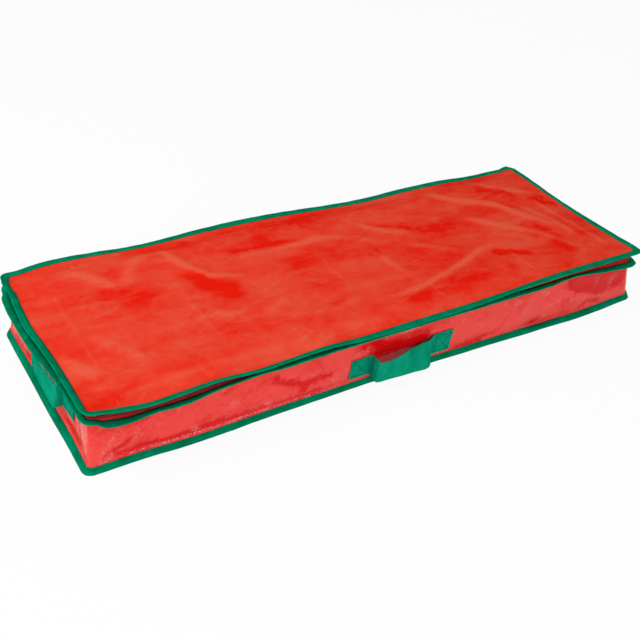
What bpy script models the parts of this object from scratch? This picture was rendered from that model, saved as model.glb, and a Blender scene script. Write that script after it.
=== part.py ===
"""Decoration storage bag with a zipped lid, bound seams and webbing handles.

Metres, +Z up. The origin is the centre of the base's resting face, +X runs along the bag and
-Y is the front. Every sheet is swept along three stacked seams: the base seam, the rim seam at
the top of the walls, and the lid seam. At each seam two sheets lie face to face in an outward
flange, and a folded binding tape wraps the flange's free edge.
"""
import math

import bmesh
import bpy
from mathutils import Vector

MM = 0.001

# Overall sizes
BAG_LENGTH = 1040 * MM
BAG_DEPTH = 339 * MM
LID_HEIGHT = 106 * MM
ZIP_BAND = 16 * MM
RIM_HEIGHT = LID_HEIGHT - ZIP_BAND
LID_CROWN = 1.5 * MM
BASE_CORNER_RADIUS = 10 * MM
TOP_CORNER_RADIUS = 7 * MM

# How far the top of each wall leans inward from the base
FRONT_LEAN = -1.5 * MM
BACK_LEAN = -2.5 * MM
LEFT_LEAN = 6 * MM
RIGHT_LEAN = 21 * MM
WALL_BULGES = {"front": 2.5 * MM, "right": 2.5 * MM, "back": 2.5 * MM, "left": -7 * MM}
LEFT_TOP_BOW = 5 * MM
LEFT_BASE_BOW = -4 * MM

# Sheets, tape and running clearances
SHEET = 0.5 * MM
CLEARANCE = 0.3 * MM
BINDING_WIDTH = 13.5 * MM
BINDING_SETBACK = 1.6 * MM
FOOT_GAP = 0.1 * MM
SHEET_BEND = 0.9 * MM
SEAM_REACH = 1.5 * MM
PITCH = SHEET + CLEARANCE
TURN_RADIUS = 1.5 * PITCH
FLANGE_REACH = BINDING_WIDTH - TURN_RADIUS - SHEET / 2

# Panels inside their seams
TRAY_SLOPE = 12 * MM
TRAY_LAP = 4 * MM
TRAY_RADIUS = 9 * MM
CROWN_SLOPE = 40 * MM
CROWN_LAP = 12 * MM
CROWN_RADIUS = 20 * MM
PANEL_FOLD = 1 * MM

# Zip chain
COIL_RADIUS = 1 * MM
COIL_GAP = 1.6 * MM
ZIP_STAND = 0.5 * MM
ZIP_RECESS = 2.7 * MM
ZIP_LEVEL_SHARE = 0.47
ZIP_CORNER_LAP = 12 * MM
ZIP_END_LENGTH = 62 * MM
HINGE_STRIP_FOLD = 9 * MM

# Slider and pull tab
SLIDER_LENGTH = 13 * MM
SLIDER_FLARE = 1.1 * MM
SLIDER_PLATE = 0.9 * MM
SLIDER_REST_INSET = 20 * MM
CUT_OVERRUN = 2 * MM
WEDGE_LENGTH = 5.4 * MM
WEDGE_STEP = 0.1 * MM
BRIDGE_LENGTH = 7 * MM
BRIDGE_WIDTH = 2.4 * MM
BRIDGE_BAR = 1 * MM
BRIDGE_CORNER = 0.8 * MM
BRIDGE_ROOM = 2.6 * MM
TAB_LENGTH = 30 * MM
TAB_WIDTH = 7 * MM
TAB_END_WIDTH = 8.4 * MM
TAB_THICKNESS = 1.2 * MM
TAB_BAR = 1.4 * MM
TAB_SLOT_LENGTH = 4.3 * MM
TAB_SLOT_MARGIN = 0.5 * MM

# Hinge line of the lid, beyond the two back flanges
LID_HINGE_CLEARANCE = 1.2 * MM

# Webbing handles
WEBBING_WIDTH = 38 * MM
WEBBING_THICKNESS = 1.6 * MM
WEBBING_GAP = 0.5 * MM
SEWN_END_LENGTH = 38 * MM
SEWN_END_THICKNESS = 2.2 * MM
HANDLE_SPAN = 121 * MM
FRONT_HANDLE_SHIFT = -8 * MM
FRONT_HANDLE_LEVEL_SHARE = 0.1744
FRONT_HANDLE_BULGE = 23 * MM
END_HANDLE_SHIFT = -5 * MM
END_HANDLE_LEVEL_SHARE = 0.613
END_HANDLE_BULGE = 13.5 * MM

# Stations along each side of the seams, and along each corner
SIDE_STEPS = {"front": 24, "right": 7, "back": 8, "left": 9}
FRONT_EXTRA_SHARES = (-0.96, -0.88)
CORNER_STEPS = 4
SIDES = ("front", "right", "back", "left")
SIDE_TRAVEL_SHARE = 0.9
NEAR_END_SHARE = 0.004
MITRE_LIMIT_SHARE = 0.35

# Swings that the tables below share out
RIM_SWING = 8 * MM
LID_SWING = 6 * MM
RIM_TILT = math.radians(30)
LID_TILT = math.radians(30)
BASE_TILT = math.radians(76)

# Each pair is a place along the side, from -1 to 1 along X or Y, and a share of the swing
RIM_HEIGHT_SHARES = {
    "front": ((-1, 0.5), (-0.965, 0), (-0.93, -0.65), (-0.84, -1), (-0.65, -0.6), (-0.5, -0.35),
              (-0.14, -0.35), (0.17, -0.3), (0.38, -0.1), (0.58, 0.2), (0.69, 0.25), (0.82, -0.12),
              (0.88, -0.38), (1, -0.6)),
    "right": ((-1, -0.5), (-0.84, -0.38), (1, -0.38)),
    "back": ((-1, -0.38), (1, -0.38)),
    "left": ((-1, 0.5), (-0.6, 0.2), (1, -0.38)),
}
LID_HEIGHT_SHARES = {
    "front": ((-1, 0.3), (-0.93, -0.8), (-0.84, -1.8), (-0.65, -1.2), (-0.5, -1.4), (-0.33, -1.2),
              (-0.14, -1.3), (0, -1.1), (0.17, -1.2), (0.38, -0.7), (0.58, 0.1), (1, 0.17)),
    "right": ((-1, 0.17), (-0.84, 0), (1, 0)),
    "back": ((-1, 0), (1, 0)),
    "left": ((-1, 0.3), (-0.4, 0), (1, 0)),
}
RIM_TILT_SHARES = {
    "front": ((-1, 0.8), (-0.965, 0.2), (-0.93, -0.1), (-0.89, 0.1), (-0.84, 0.7), (-0.65, 0.9),
              (-0.5, 1.25), (-0.14, 1.2), (0.17, 1.15), (0.38, 0.8), (0.58, 0.45), (0.69, 0.9),
              (0.82, 0.3), (0.88, 0), (1, -0.5)),
    "right": ((-1, -0.1), (-0.84, 0.3), (1, 0.3)),
    "back": ((-1, 0.2), (1, 0.2)),
    "left": ((-1, 1), (-0.7, 1.1), (-0.4, 0.6), (0, 0.2), (0.5, 0.3), (1, 0.5)),
}
LID_TILT_SHARES = {
    "front": ((-1, 0.8), (-0.93, 0.7), (-0.84, 0.8), (-0.65, 1.05), (-0.5, 1.3), (-0.33, 1.1),
              (0, 0.95), (0.38, 0.7), (0.58, 0.3), (0.82, 0.1), (1, 0.1)),
    "right": ((-1, 0.3), (-0.3, 0.2), (0.3, -0.4), (1, 0.1)),
    "back": ((-1, 0.3), (-0.55, -0.1), (-0.2, 0.5), (0.15, 0.2), (0.55, 0.35), (1, 0)),
    "left": ((-1, 1.2), (-0.6, 1), (-0.1, 0.8), (0.2, 0.65), (0.9, 1.5), (1, 1.2)),
}
BASE_TILT_SHARES = {
    "front": ((-1, 0.95), (-0.9, 1), (0, 1), (0.22, 0.9), (0.48, 0.6), (0.68, 0.3), (0.87, 0.5),
              (1, 0.8)),
    "right": ((-1, 0.8), (1, 0.9)),
    "back": ((-1, 0.9), (1, 0.9)),
    "left": ((-1, 0.95), (-0.6, 0.85), (0.6, 0.85), (1, 0.9)),
}
ZIP_RECESS_SHARES = {
    "front": ((-0.65, 0), (-0.5, 1), (0.4, 1), (0.66, 0)),
    "right": ((-1, 0), (1, 0)),
    "back": ((-1, 0), (1, 0)),
    "left": ((-1, 0), (1, 0)),
}
# The two edges of a handle's loop: shares of its span along the wall, and of its bulge outward
FRONT_LOOP_SHARES = {
    "top": ((-0.497, 0), (-0.505, 0.3), (-0.502, 0.68), (-0.478, 0.98), (-0.3, 0.98),
            (-0.1, 0.75), (0.1, 0.45), (0.24, 0.38), (0.33, 0.36), (0.4, 0.25), (0.45, 0.1),
            (0.497, 0)),
    "low": ((-0.497, 0), (-0.505, 0.3), (-0.502, 0.6), (-0.478, 0.85), (-0.3, 0.95),
            (-0.1, 1.1), (0.1, 1.2), (0.24, 1.25), (0.33, 1.1), (0.4, 0.7), (0.45, 0.3),
            (0.497, 0)),
}
END_LOOP_SHARES = {
    "top": ((-0.497, 0), (-0.503, 0.2), (-0.502, 0.4), (-0.485, 0.55), (-0.3, 0.58), (0, 0.58),
            (0.28, 0.45), (0.4, 0.25), (0.497, 0)),
    "low": ((-0.497, 0), (-0.503, 0.4), (-0.502, 0.8), (-0.485, 1), (-0.3, 1), (0, 0.9),
            (0.28, 0.7), (0.4, 0.4), (0.497, 0)),
}
WALL_ROW_SHARES = (0.25, 0.5, 0.75)
HINGE_ROW_SHARES = (0, 0.2, 0.4, 0.6, 0.8, 1)
FOLD_TURNS = tuple(math.radians(turn) for turn in (-90, -30, 30, 90))

COLOURS = {
    "lid_fabric": ((0.80, 0.045, 0.016, 1), 0.45, 0),
    "wall_film": ((0.76, 0.014, 0.016, 1), 0.18, 0),
    "binding_tape": ((0.0, 0.24, 0.10, 1), 0.75, 0),
    "webbing": ((0.0, 0.31, 0.19, 1), 0.8, 0),
    "zip_tape": ((0.45, 0.012, 0.014, 1), 0.7, 0),
    "zip_coil": ((0.20, 0.008, 0.008, 1), 0.4, 0),
    "slider_metal": ((0.42, 0.012, 0.012, 1), 0.35, 0.6),
}


def clear_scene():
    """Remove every object that the file opens with."""
    for thing in list(bpy.data.objects):
        bpy.data.objects.remove(thing, do_unlink=True)


def make_material(name):
    """A Principled material with the part's colour, roughness and metallic value."""
    colour, roughness, metallic = COLOURS[name]
    material = bpy.data.materials.new(name)
    material.use_nodes = True
    shader = material.node_tree.nodes["Principled BSDF"]
    shader.inputs["Base Color"].default_value = colour
    shader.inputs["Roughness"].default_value = roughness
    shader.inputs["Metallic"].default_value = metallic
    material.diffuse_color = colour
    return material


def eased(table, place):
    """Read a table of (place, share) pairs, easing between its places."""
    if place <= table[0][0]:
        return table[0][1]
    for (start, low), (end, high) in zip(table, table[1:]):
        if place <= end:
            part = (place - start) / (end - start)
            part = part * part * (3 - 2 * part)
            return low + (high - low) * part
    return table[-1][1]


def mix(low, high, part):
    """Straight blend between two numbers or two vectors."""
    return low + (high - low) * part


def mitre(before, after, half_thickness):
    """From a bend in a sheet's middle line to the bend in its left-hand face."""
    across = Vector((-before.y - after.y, before.x + after.x)).normalized()
    sharpness = max(across.dot(Vector((-after.y, after.x))), MITRE_LIMIT_SHARE)
    return across * (half_thickness / sharpness)


class SeamPath:
    """A rounded rectangle in plan, given by its four sides and its corner radius.

    Its left side may bow outward in the middle.
    """

    def __init__(self, left, right, front, back, radius, left_bow=0):
        self.left = left
        self.right = right
        self.front = front
        self.back = back
        self.radius = radius
        self.left_bow = left_bow

    def inset(self, distance, radius):
        """The same rectangle drawn in by a distance, with its own corner radius."""
        return SeamPath(self.left + distance, self.right - distance, self.front + distance,
                        self.back - distance, radius, self.left_bow)

    def on_side(self, side, share):
        """A point on a side: the share runs from -1 to 1 along +X or +Y."""
        low_x, high_x = self.left + self.radius, self.right - self.radius
        low_y, high_y = self.front + self.radius, self.back - self.radius
        along_x = mix(low_x, high_x, (share + 1) / 2)
        along_y = mix(low_y, high_y, (share + 1) / 2)
        bow = self.left_bow * (1 - share ** 2) ** 2
        return {
            "front": Vector((along_x, self.front)),
            "back": Vector((along_x, self.back)),
            "left": Vector((self.left - bow, along_y)),
            "right": Vector((self.right, along_y)),
        }[side]

    def on_corner(self, side, turn):
        """A point on the corner that follows a side: the turn runs from 0 to 1."""
        normal = corner_normal(side, turn)
        centre_x = self.right - self.radius if side in ("front", "right") else self.left + self.radius
        centre_y = self.front + self.radius if side in ("front", "left") else self.back - self.radius
        return Vector((centre_x, centre_y)) + normal * self.radius


SIDE_NORMALS = {
    "front": Vector((0, -1)),
    "right": Vector((1, 0)),
    "back": Vector((0, 1)),
    "left": Vector((-1, 0)),
}


def corner_normal(side, turn):
    """Outward direction on the corner that follows a side, turning anticlockwise."""
    start = SIDE_NORMALS[side]
    angle = math.atan2(start.y, start.x) + turn * math.pi / 2
    return Vector((math.cos(angle), math.sin(angle)))


BASE_PATH = SeamPath(-BAG_LENGTH / 2, BAG_LENGTH / 2, -BAG_DEPTH / 2, BAG_DEPTH / 2,
                     BASE_CORNER_RADIUS, LEFT_BASE_BOW)
TOP_PATH = SeamPath(BASE_PATH.left + LEFT_LEAN, BASE_PATH.right - RIGHT_LEAN,
                    BASE_PATH.front + FRONT_LEAN, BASE_PATH.back - BACK_LEAN, TOP_CORNER_RADIUS,
                    LEFT_TOP_BOW)
TRAY_PATH = BASE_PATH.inset(TRAY_SLOPE, TRAY_RADIUS)
TRAY_FLOOR_PATH = BASE_PATH.inset(TRAY_SLOPE + TRAY_LAP, TRAY_RADIUS)
CROWN_PATH = TOP_PATH.inset(CROWN_SLOPE, CROWN_RADIUS)
CROWN_TOP_PATH = TOP_PATH.inset(CROWN_SLOPE + CROWN_LAP, CROWN_RADIUS)


def end_place(side, at_end):
    """The table place at a side's start or end, in the order that the seams run round."""
    rising = side in ("front", "right")
    return (1 if at_end else -1) if rising else (-1 if at_end else 1)


def next_side(side):
    """The side that follows, going anticlockwise from above."""
    return SIDES[(SIDES.index(side) + 1) % len(SIDES)]


class Station:
    """One cross-section of the bag: where its three seams stand and how their flanges tilt."""

    def __init__(self, side, share=None, turn=None):
        self.side = side
        self.share = share
        self.turn = turn
        self.normal = SIDE_NORMALS[side] if turn is None else corner_normal(side, turn)
        self.rim_z = RIM_HEIGHT + RIM_SWING * self.read(RIM_HEIGHT_SHARES)
        self.lid_z = LID_HEIGHT + LID_SWING * self.read(LID_HEIGHT_SHARES)
        self.rim_tilt = RIM_TILT * self.read(RIM_TILT_SHARES)
        self.lid_tilt = LID_TILT * self.read(LID_TILT_SHARES)
        self.base_tilt = -BASE_TILT * self.read(BASE_TILT_SHARES)
        self.base_z = (FOOT_GAP + TURN_RADIUS + SHEET / 2
                       - FLANGE_REACH * math.sin(self.base_tilt))
        self.zip_out = ZIP_STAND - ZIP_RECESS * self.read(ZIP_RECESS_SHARES)
        self.zip_z = mix(self.rim_z, self.lid_z, ZIP_LEVEL_SHARE)

    def read(self, tables):
        """A table's share at this station, blended round a corner."""
        if self.turn is None:
            return eased(tables[self.side], self.share)
        start = eased(tables[self.side], end_place(self.side, True))
        end = eased(tables[next_side(self.side)], end_place(next_side(self.side), False))
        return mix(start, end, self.turn)

    def on(self, path):
        """This station's point on a seam path, in plan."""
        if self.turn is None:
            return path.on_side(self.side, self.share)
        return path.on_corner(self.side, self.turn)


def whole_round():
    """Every station of the closed seams, anticlockwise from the front's left end."""
    stations = []
    for side in SIDES:
        start, end = end_place(side, False), end_place(side, True)
        steps = SIDE_STEPS[side]
        for step in range(steps + 1):
            stations.append(Station(side, share=mix(start, end, step / steps)))
        for step in range(1, CORNER_STEPS):
            stations.append(Station(side, turn=step / CORNER_STEPS))
    return stations


def side_share(path, side, place):
    """The share along a side at which its X or Y has a given value."""
    low = path.on_side(side, -1)
    high = path.on_side(side, 1)
    axis = 0 if side in ("front", "back") else 1
    return 2 * (place - low[axis]) / (high[axis] - low[axis]) - 1


def stations_between(stations, start, end):
    """The stations from one extra station to another, going anticlockwise."""
    first, last = travel(start) + NEAR_END_SHARE, travel(end) - NEAR_END_SHARE
    if last > first:
        middle = [item for item in stations if first < travel(item) < last]
    else:
        middle = [item for item in stations if travel(item) > first]
        middle += [item for item in stations if travel(item) < last]
    return [start] + middle + [end]


def travel(station):
    """How far round the seams a station is, as a number that grows anticlockwise."""
    index = SIDES.index(station.side)
    if station.turn is not None:
        return index + mix(SIDE_TRAVEL_SHARE, 1, station.turn)
    start, end = end_place(station.side, False), end_place(station.side, True)
    return index + SIDE_TRAVEL_SHARE * (station.share - start) / (end - start)


class Section:
    """A bent line in a station's upright plane, which gets a thickness and becomes an outline."""

    def __init__(self, station):
        self.normal = station.normal
        self.points = []

    def add(self, out, height, foot, foot_out=0):
        """Add a point: its distance out, its height, and the plan point it is measured from."""
        self.points.append((out, height, foot, foot_out))

    def flange(self, distances, level, tilt, foot, root, foot_out=0):
        """Add points along a seam flange, at one layer of its stack."""
        root_out, root_height = root
        along = (math.cos(tilt), math.sin(tilt))
        for distance in distances:
            out = root_out + distance * along[0] - level * along[1]
            height = root_height + distance * along[1] + level * along[0]
            self.add(out, height, foot, foot_out)

    def place(self, out, height, foot, foot_out):
        """The point in space of an out and a height."""
        plan = foot + self.normal * (out - foot_out)
        return Vector((plan.x, plan.y, height))

    def outline(self, thickness=SHEET):
        """Both faces of the sheet: up one face and back down the other, mitred at its bends."""
        faces = ([], [])
        count = len(self.points)
        for index, (out, height, foot, foot_out) in enumerate(self.points):
            here = Vector((out, height))
            before = self.direction(max(index - 1, 0))
            after = self.direction(min(index, count - 2))
            offset = mitre(before, after, thickness / 2)
            for face, moved in zip(faces, (here + offset, here - offset)):
                face.append(self.place(moved.x, moved.y, foot, foot_out))
        return faces[0] + faces[1][::-1]

    def direction(self, index):
        """Unit direction from a point to the next."""
        first, second = self.points[index], self.points[index + 1]
        return Vector((second[0] - first[0], second[1] - first[1])).normalized()


def binding_section(station, foot, root, tilt, low_setback=BINDING_SETBACK,
                    high_setback=BINDING_SETBACK):
    """A folded tape: one leg, the turn round the flange's free edge, and the other leg."""
    section = Section(station)
    section.flange((low_setback,), -TURN_RADIUS, tilt, foot, root)
    for angle in FOLD_TURNS:
        reach = FLANGE_REACH + TURN_RADIUS * math.cos(angle)
        section.flange((reach,), TURN_RADIUS * math.sin(angle), tilt, foot, root)
    section.flange((high_setback,), TURN_RADIUS, tilt, foot, root)
    return section.outline()


def zip_side_setback(tilt):
    """How far from the seam the leg beside the zip starts: more where it leans on the tape."""
    stand = ZIP_STAND + SHEET + CLEARANCE
    return max(BINDING_SETBACK, (stand + TURN_RADIUS * math.sin(tilt)) / math.cos(tilt))


def base_binding(station):
    return binding_section(station, station.on(BASE_PATH), (0, station.base_z), station.base_tilt)


def rim_binding(station):
    return binding_section(station, station.on(TOP_PATH), (0, station.rim_z), station.rim_tilt,
                           high_setback=zip_side_setback(station.rim_tilt))


def lid_binding(station):
    return binding_section(station, station.on(TOP_PATH), (0, station.lid_z), station.lid_tilt,
                           low_setback=zip_side_setback(-station.lid_tilt))


def wall_rows(station):
    """The wall between its two seams, as (out, height, foot, foot out) rows."""
    base_foot, top_foot = station.on(BASE_PATH), station.on(TOP_PATH)
    lean = (top_foot - base_foot).dot(station.normal)
    bulge = 0 if station.share is None else WALL_BULGES[station.side] * (1 - station.share ** 4)
    rows = []
    for share in (0,) + WALL_ROW_SHARES + (1,):
        reach = SEAM_REACH if share == 0 else -SEAM_REACH if share == 1 else 0
        height = mix(station.base_z, station.rim_z, share) + reach
        out = lean * share + bulge * math.sin(math.pi * share)
        rows.append((out, height, mix(base_foot, top_foot, share), lean * share))
    return rows


def wall_section(station):
    """A wall sheet, from the base flange's edge up to the rim flange's edge."""
    section = Section(station)
    rows = wall_rows(station)
    section.flange((FLANGE_REACH, SHEET_BEND), PITCH / 2, station.base_tilt, rows[0][2],
                   (0, station.base_z))
    for row in rows:
        section.add(*row)
    top_out = rows[-1][3]
    section.flange((SHEET_BEND, FLANGE_REACH), -PITCH / 2, station.rim_tilt, rows[-1][2],
                   (top_out, station.rim_z), top_out)
    return section.outline()


def lower_tape_line(station):
    """The zip's lower tape, from the rim flange's edge up to the teeth."""
    foot = station.on(TOP_PATH)
    section = Section(station)
    section.flange((FLANGE_REACH, SHEET_BEND), PITCH / 2, station.rim_tilt, foot,
                   (0, station.rim_z))
    section.add(station.zip_out, station.rim_z + SEAM_REACH, foot)
    section.add(station.zip_out, station.zip_z - COIL_GAP / 2, foot)
    return section


def upper_tape_line(station):
    """The zip's upper tape, from the teeth up to the lid flange's edge.

    Where the tape comes out of a recess, it rises no flatter than its flange does.
    """
    foot = station.on(TOP_PATH)
    slope, rise = math.cos(station.lid_tilt), math.sin(station.lid_tilt)
    bend_out = SHEET_BEND * slope + PITCH / 2 * rise
    bend_up = SHEET_BEND * rise - PITCH / 2 * slope
    reach = max(SEAM_REACH, (bend_out - station.zip_out) * rise / slope - bend_up)
    section = Section(station)
    section.add(station.zip_out, station.zip_z + COIL_GAP / 2, foot)
    section.add(station.zip_out, station.lid_z - reach, foot)
    section.flange((SHEET_BEND, FLANGE_REACH), -PITCH / 2, station.lid_tilt, foot,
                   (0, station.lid_z))
    return section


def lower_tape(station):
    return lower_tape_line(station).outline()


def upper_tape(station):
    return upper_tape_line(station).outline()


def zip_end_section(station):
    """Upper tape and its coil in one, for the stretch that bends at the lid's hinge."""
    section = upper_tape_line(station)
    outline = section.outline()
    foot = station.on(TOP_PATH)
    face = station.zip_out + SHEET / 2
    low = station.zip_z + COIL_GAP / 2
    proud = CLEARANCE + 2 * COIL_RADIUS
    swell = ((0, 2 * COIL_RADIUS), (proud, COIL_RADIUS * 3 / 2), (proud, COIL_RADIUS / 2))
    bead = [section.place(face + out, low + up, foot, 0) for out, up in swell]
    return outline[:-1] + bead + outline[-1:]


def coil_point(station, side_sign):
    """The middle of one half's coil: above the zip line for 1, below it for -1."""
    foot = station.on(TOP_PATH)
    out = station.zip_out + SHEET / 2 + CLEARANCE + COIL_RADIUS
    plan = foot + station.normal * out
    height = station.zip_z + side_sign * (COIL_GAP / 2 + COIL_RADIUS)
    return Vector((plan.x, plan.y, height))


def hinge_strip_section(station):
    """The fabric hinge at the back: rim flange, a fold inward, and lid flange."""
    foot = station.on(TOP_PATH)
    section = Section(station)
    section.flange((FLANGE_REACH, SHEET_BEND), PITCH / 2, station.rim_tilt, foot,
                   (0, station.rim_z))
    low, high = station.rim_z + SEAM_REACH, station.lid_z - SEAM_REACH
    for share in HINGE_ROW_SHARES:
        section.add(-HINGE_STRIP_FOLD * math.sin(math.pi * share), mix(low, high, share), foot)
    section.flange((SHEET_BEND, FLANGE_REACH), -PITCH / 2, station.lid_tilt, foot,
                   (0, station.lid_z))
    return section.outline()


def bottom_panel_section(station):
    """The bottom sheet: up from the floor, over its fold and down into the base flange."""
    foot = station.on(BASE_PATH)
    section = Section(station)
    floor_out = -TRAY_SLOPE - TRAY_LAP
    section.add(floor_out, SHEET / 2, station.on(TRAY_FLOOR_PATH), floor_out)
    section.add(-TRAY_SLOPE, SHEET / 2, station.on(TRAY_PATH), -TRAY_SLOPE)
    section.add(-PANEL_FOLD, station.base_z, foot)
    section.flange((SHEET_BEND, FLANGE_REACH), -PITCH / 2, station.base_tilt, foot,
                   (0, station.base_z))
    return section.outline()


def top_panel_section(station):
    """The top sheet: from the slightly crowned middle out into the lid flange."""
    foot = station.on(TOP_PATH)
    section = Section(station)
    crown = LID_HEIGHT + LID_CROWN
    top_out = -CROWN_SLOPE - CROWN_LAP
    section.add(top_out, crown, station.on(CROWN_TOP_PATH), top_out)
    section.add(-CROWN_SLOPE, crown, station.on(CROWN_PATH), -CROWN_SLOPE)
    section.flange((0, FLANGE_REACH), PITCH / 2, station.lid_tilt, foot, (0, station.lid_z))
    return section.outline()


def loft(rows, normals, closed_round, open_middle=False):
    """Skin outlines into one closed mesh.

    Every strip is split along the diagonal that runs outward as the seam runs on, so that
    sheets stacked in a flange fold along the same lines. With open_middle the outlines' first
    and last points ring a hole, which one flat face closes above and one below.
    """
    mesh = bmesh.new()
    grid = [[mesh.verts.new(point) for point in row] for row in rows]
    count = len(rows[0])
    steps = len(rows) if closed_round else len(rows) - 1
    edges = count - 1 if open_middle else count
    for index in range(steps):
        here, there = grid[index], grid[(index + 1) % len(rows)]
        normal = normals[index]
        for first in range(edges):
            second = (first + 1) % count
            outward = (here[second].co - here[first].co).dot(Vector((normal.x, normal.y, 0)))
            if outward > 0:
                mesh.faces.new((here[first], here[second], there[second]))
                mesh.faces.new((here[first], there[second], there[first]))
            else:
                mesh.faces.new((here[first], here[second], there[first]))
                mesh.faces.new((here[second], there[second], there[first]))
    if open_middle:
        mesh.faces.new([row[0] for row in grid])
        mesh.faces.new([row[-1] for row in grid])
    if not closed_round:
        mesh.faces.new(grid[0])
        mesh.faces.new(grid[-1])
    turn_outward(mesh)
    return mesh


def turn_outward(mesh):
    """Point a closed mesh's faces out of its volume."""
    bmesh.ops.recalc_face_normals(mesh, faces=mesh.faces)
    if mesh.calc_volume(signed=True) < 0:
        bmesh.ops.reverse_faces(mesh, faces=mesh.faces)


class Bag:
    """Collects the parts: their collection, their materials and the lid's hinge empty."""

    def __init__(self):
        self.collection = bpy.data.collections.new("Decoration storage bag")
        bpy.context.scene.collection.children.link(self.collection)
        self.materials = {name: make_material(name) for name in COLOURS}
        extra = [Station("front", share=share) for share in FRONT_EXTRA_SHARES]
        extra += [end_stretch_start("right"), back_end(1), back_end(-1), end_stretch_start("left")]
        self.stations = sorted(whole_round() + extra, key=travel)

    def add_mesh(self, name, mesh, material, origin=Vector((0, 0, 0)), parent=None):
        """Make an object whose mesh is given in world places and whose origin is stated."""
        data = bpy.data.meshes.new(name)
        bmesh.ops.translate(mesh, verts=mesh.verts, vec=-origin)
        mesh.to_mesh(data)
        mesh.free()
        return self.add_object(name, data, material, origin, parent)

    def add_object(self, name, data, material, origin=Vector((0, 0, 0)), parent=None):
        """Link an object, and give it its material, place and parent."""
        data.materials.clear()
        data.materials.append(self.materials[material])
        thing = bpy.data.objects.new(name, data)
        self.collection.objects.link(thing)
        thing.location = origin
        if parent is not None:
            thing.parent = parent
            thing.location = origin - parent.location
        return thing

    def ring(self, name, section, material, parent=None, open_middle=False):
        """A piece that runs the whole way round a seam."""
        rows = [section(station) for station in self.stations]
        normals = [station.normal for station in self.stations]
        mesh = loft(rows, normals, True, open_middle)
        return self.add_mesh(name, mesh, material, self.home(parent), parent)

    def stretch(self, name, section, material, start, end, parent=None):
        """A piece that runs along part of a seam."""
        chosen = stations_between(self.stations, start, end)
        rows = [section(station) for station in chosen]
        mesh = loft(rows, [station.normal for station in chosen], False)
        return self.add_mesh(name, mesh, material, self.home(parent), parent)

    @staticmethod
    def home(parent):
        """A part's origin: its parent's, or the bag's."""
        return Vector((0, 0, 0)) if parent is None else parent.location.copy()


def corner_station(side, shift):
    """The middle of the corner after a side, moved round by a small distance."""
    arc = BASE_CORNER_RADIUS * math.pi / 2
    return Station(side, turn=0.5 + shift / arc)


def add_walls(bag):
    """Four wall panels, butted at the middle of each upright corner."""
    for side in SIDES:
        before = SIDES[SIDES.index(side) - 1]
        start = corner_station(before, CLEARANCE)
        end = corner_station(side, -CLEARANCE)
        bag.stretch(side + "_wall", wall_section, "wall_film", start, end)


def back_end(side_sign, shift=0):
    """Where the zip ends on the back: past the right corner for 1, past the left for -1."""
    edge = TOP_PATH.right if side_sign > 0 else TOP_PATH.left
    place = edge - side_sign * (TOP_PATH.radius + ZIP_CORNER_LAP + shift)
    return Station("back", share=side_share(TOP_PATH, "back", place))


def end_stretch_start(side, shift=0):
    """Where the zip's rigid run gives way to the stretch that bends at the hinge."""
    place = TOP_PATH.back - ZIP_END_LENGTH - shift
    return Station(side, share=side_share(TOP_PATH, side, place))


def add_coil(bag, name, side_sign, start, end, parent=None):
    """One half's coil, as a smooth bead along the teeth line."""
    origin = bag.home(parent)
    chosen = stations_between(bag.stations, start, end)
    curve = bpy.data.curves.new(name, "CURVE")
    curve.dimensions = "3D"
    curve.bevel_depth = COIL_RADIUS
    curve.bevel_resolution = 1
    curve.use_fill_caps = True
    spline = curve.splines.new("POLY")
    spline.points.add(len(chosen) - 1)
    for point, station in zip(spline.points, chosen):
        place = coil_point(station, side_sign) - origin
        point.co = (place.x, place.y, place.z, 1)
    return bag.add_object(name, curve, "zip_coil", origin, parent)


def add_zip(bag, lid):
    """Both halves of the zip, the end stretches and the fabric hinge."""
    left_end, right_end = back_end(-1), back_end(1)
    bag.stretch("zip_tape_lower", lower_tape, "zip_tape", left_end, right_end)
    add_coil(bag, "zip_coil_lower", -1, left_end, right_end)
    left_start, right_start = end_stretch_start("left"), end_stretch_start("right")
    bag.stretch("zip_tape_upper", upper_tape, "zip_tape", left_start, right_start, lid)
    add_coil(bag, "zip_coil_upper", 1, left_start, right_start, lid)
    bag.stretch("zip_end_right", zip_end_section, "zip_tape",
                end_stretch_start("right", -CLEARANCE), right_end, lid)
    bag.stretch("zip_end_left", zip_end_section, "zip_tape", left_end,
                end_stretch_start("left", -CLEARANCE), lid)
    bag.stretch("hinge_strip", hinge_strip_section, "lid_fabric", back_end(1, CLEARANCE),
                back_end(-1, CLEARANCE))


def flat_plate(name, outlines, thickness, offset):
    """A flat plate in the Y-Z plane from closed outlines of (y, z), as a mesh object.

    A second outline inside the first is a hole. The plate's middle stands at x = offset.
    """
    curve = bpy.data.curves.new(name, "CURVE")
    curve.dimensions = "2D"
    curve.fill_mode = "BOTH"
    curve.extrude = thickness / 2
    for outline in outlines:
        spline = curve.splines.new("POLY")
        spline.points.add(len(outline) - 1)
        spline.use_cyclic_u = True
        for point, (along, height) in zip(spline.points, outline):
            point.co = (along, height, 0, 1)
    maker = bpy.data.objects.new(name, curve)
    bpy.context.scene.collection.objects.link(maker)
    data = evaluated_mesh(maker)
    bpy.data.objects.remove(maker, do_unlink=True)
    mesh = bmesh.new()
    mesh.from_mesh(data)
    bmesh.ops.remove_doubles(mesh, verts=mesh.verts, dist=CLEARANCE / 100)
    for vertex in mesh.verts:
        along, height, across = vertex.co
        vertex.co = (across + offset, along, height)
    turn_outward(mesh)
    mesh.to_mesh(data)
    mesh.free()
    plate = bpy.data.objects.new(name, data)
    bpy.context.scene.collection.objects.link(plate)
    return plate


def evaluated_mesh(thing):
    """An object's mesh with its modifiers applied."""
    bpy.context.view_layer.update()
    graph = bpy.context.evaluated_depsgraph_get()
    return bpy.data.meshes.new_from_object(thing.evaluated_get(graph))


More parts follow.
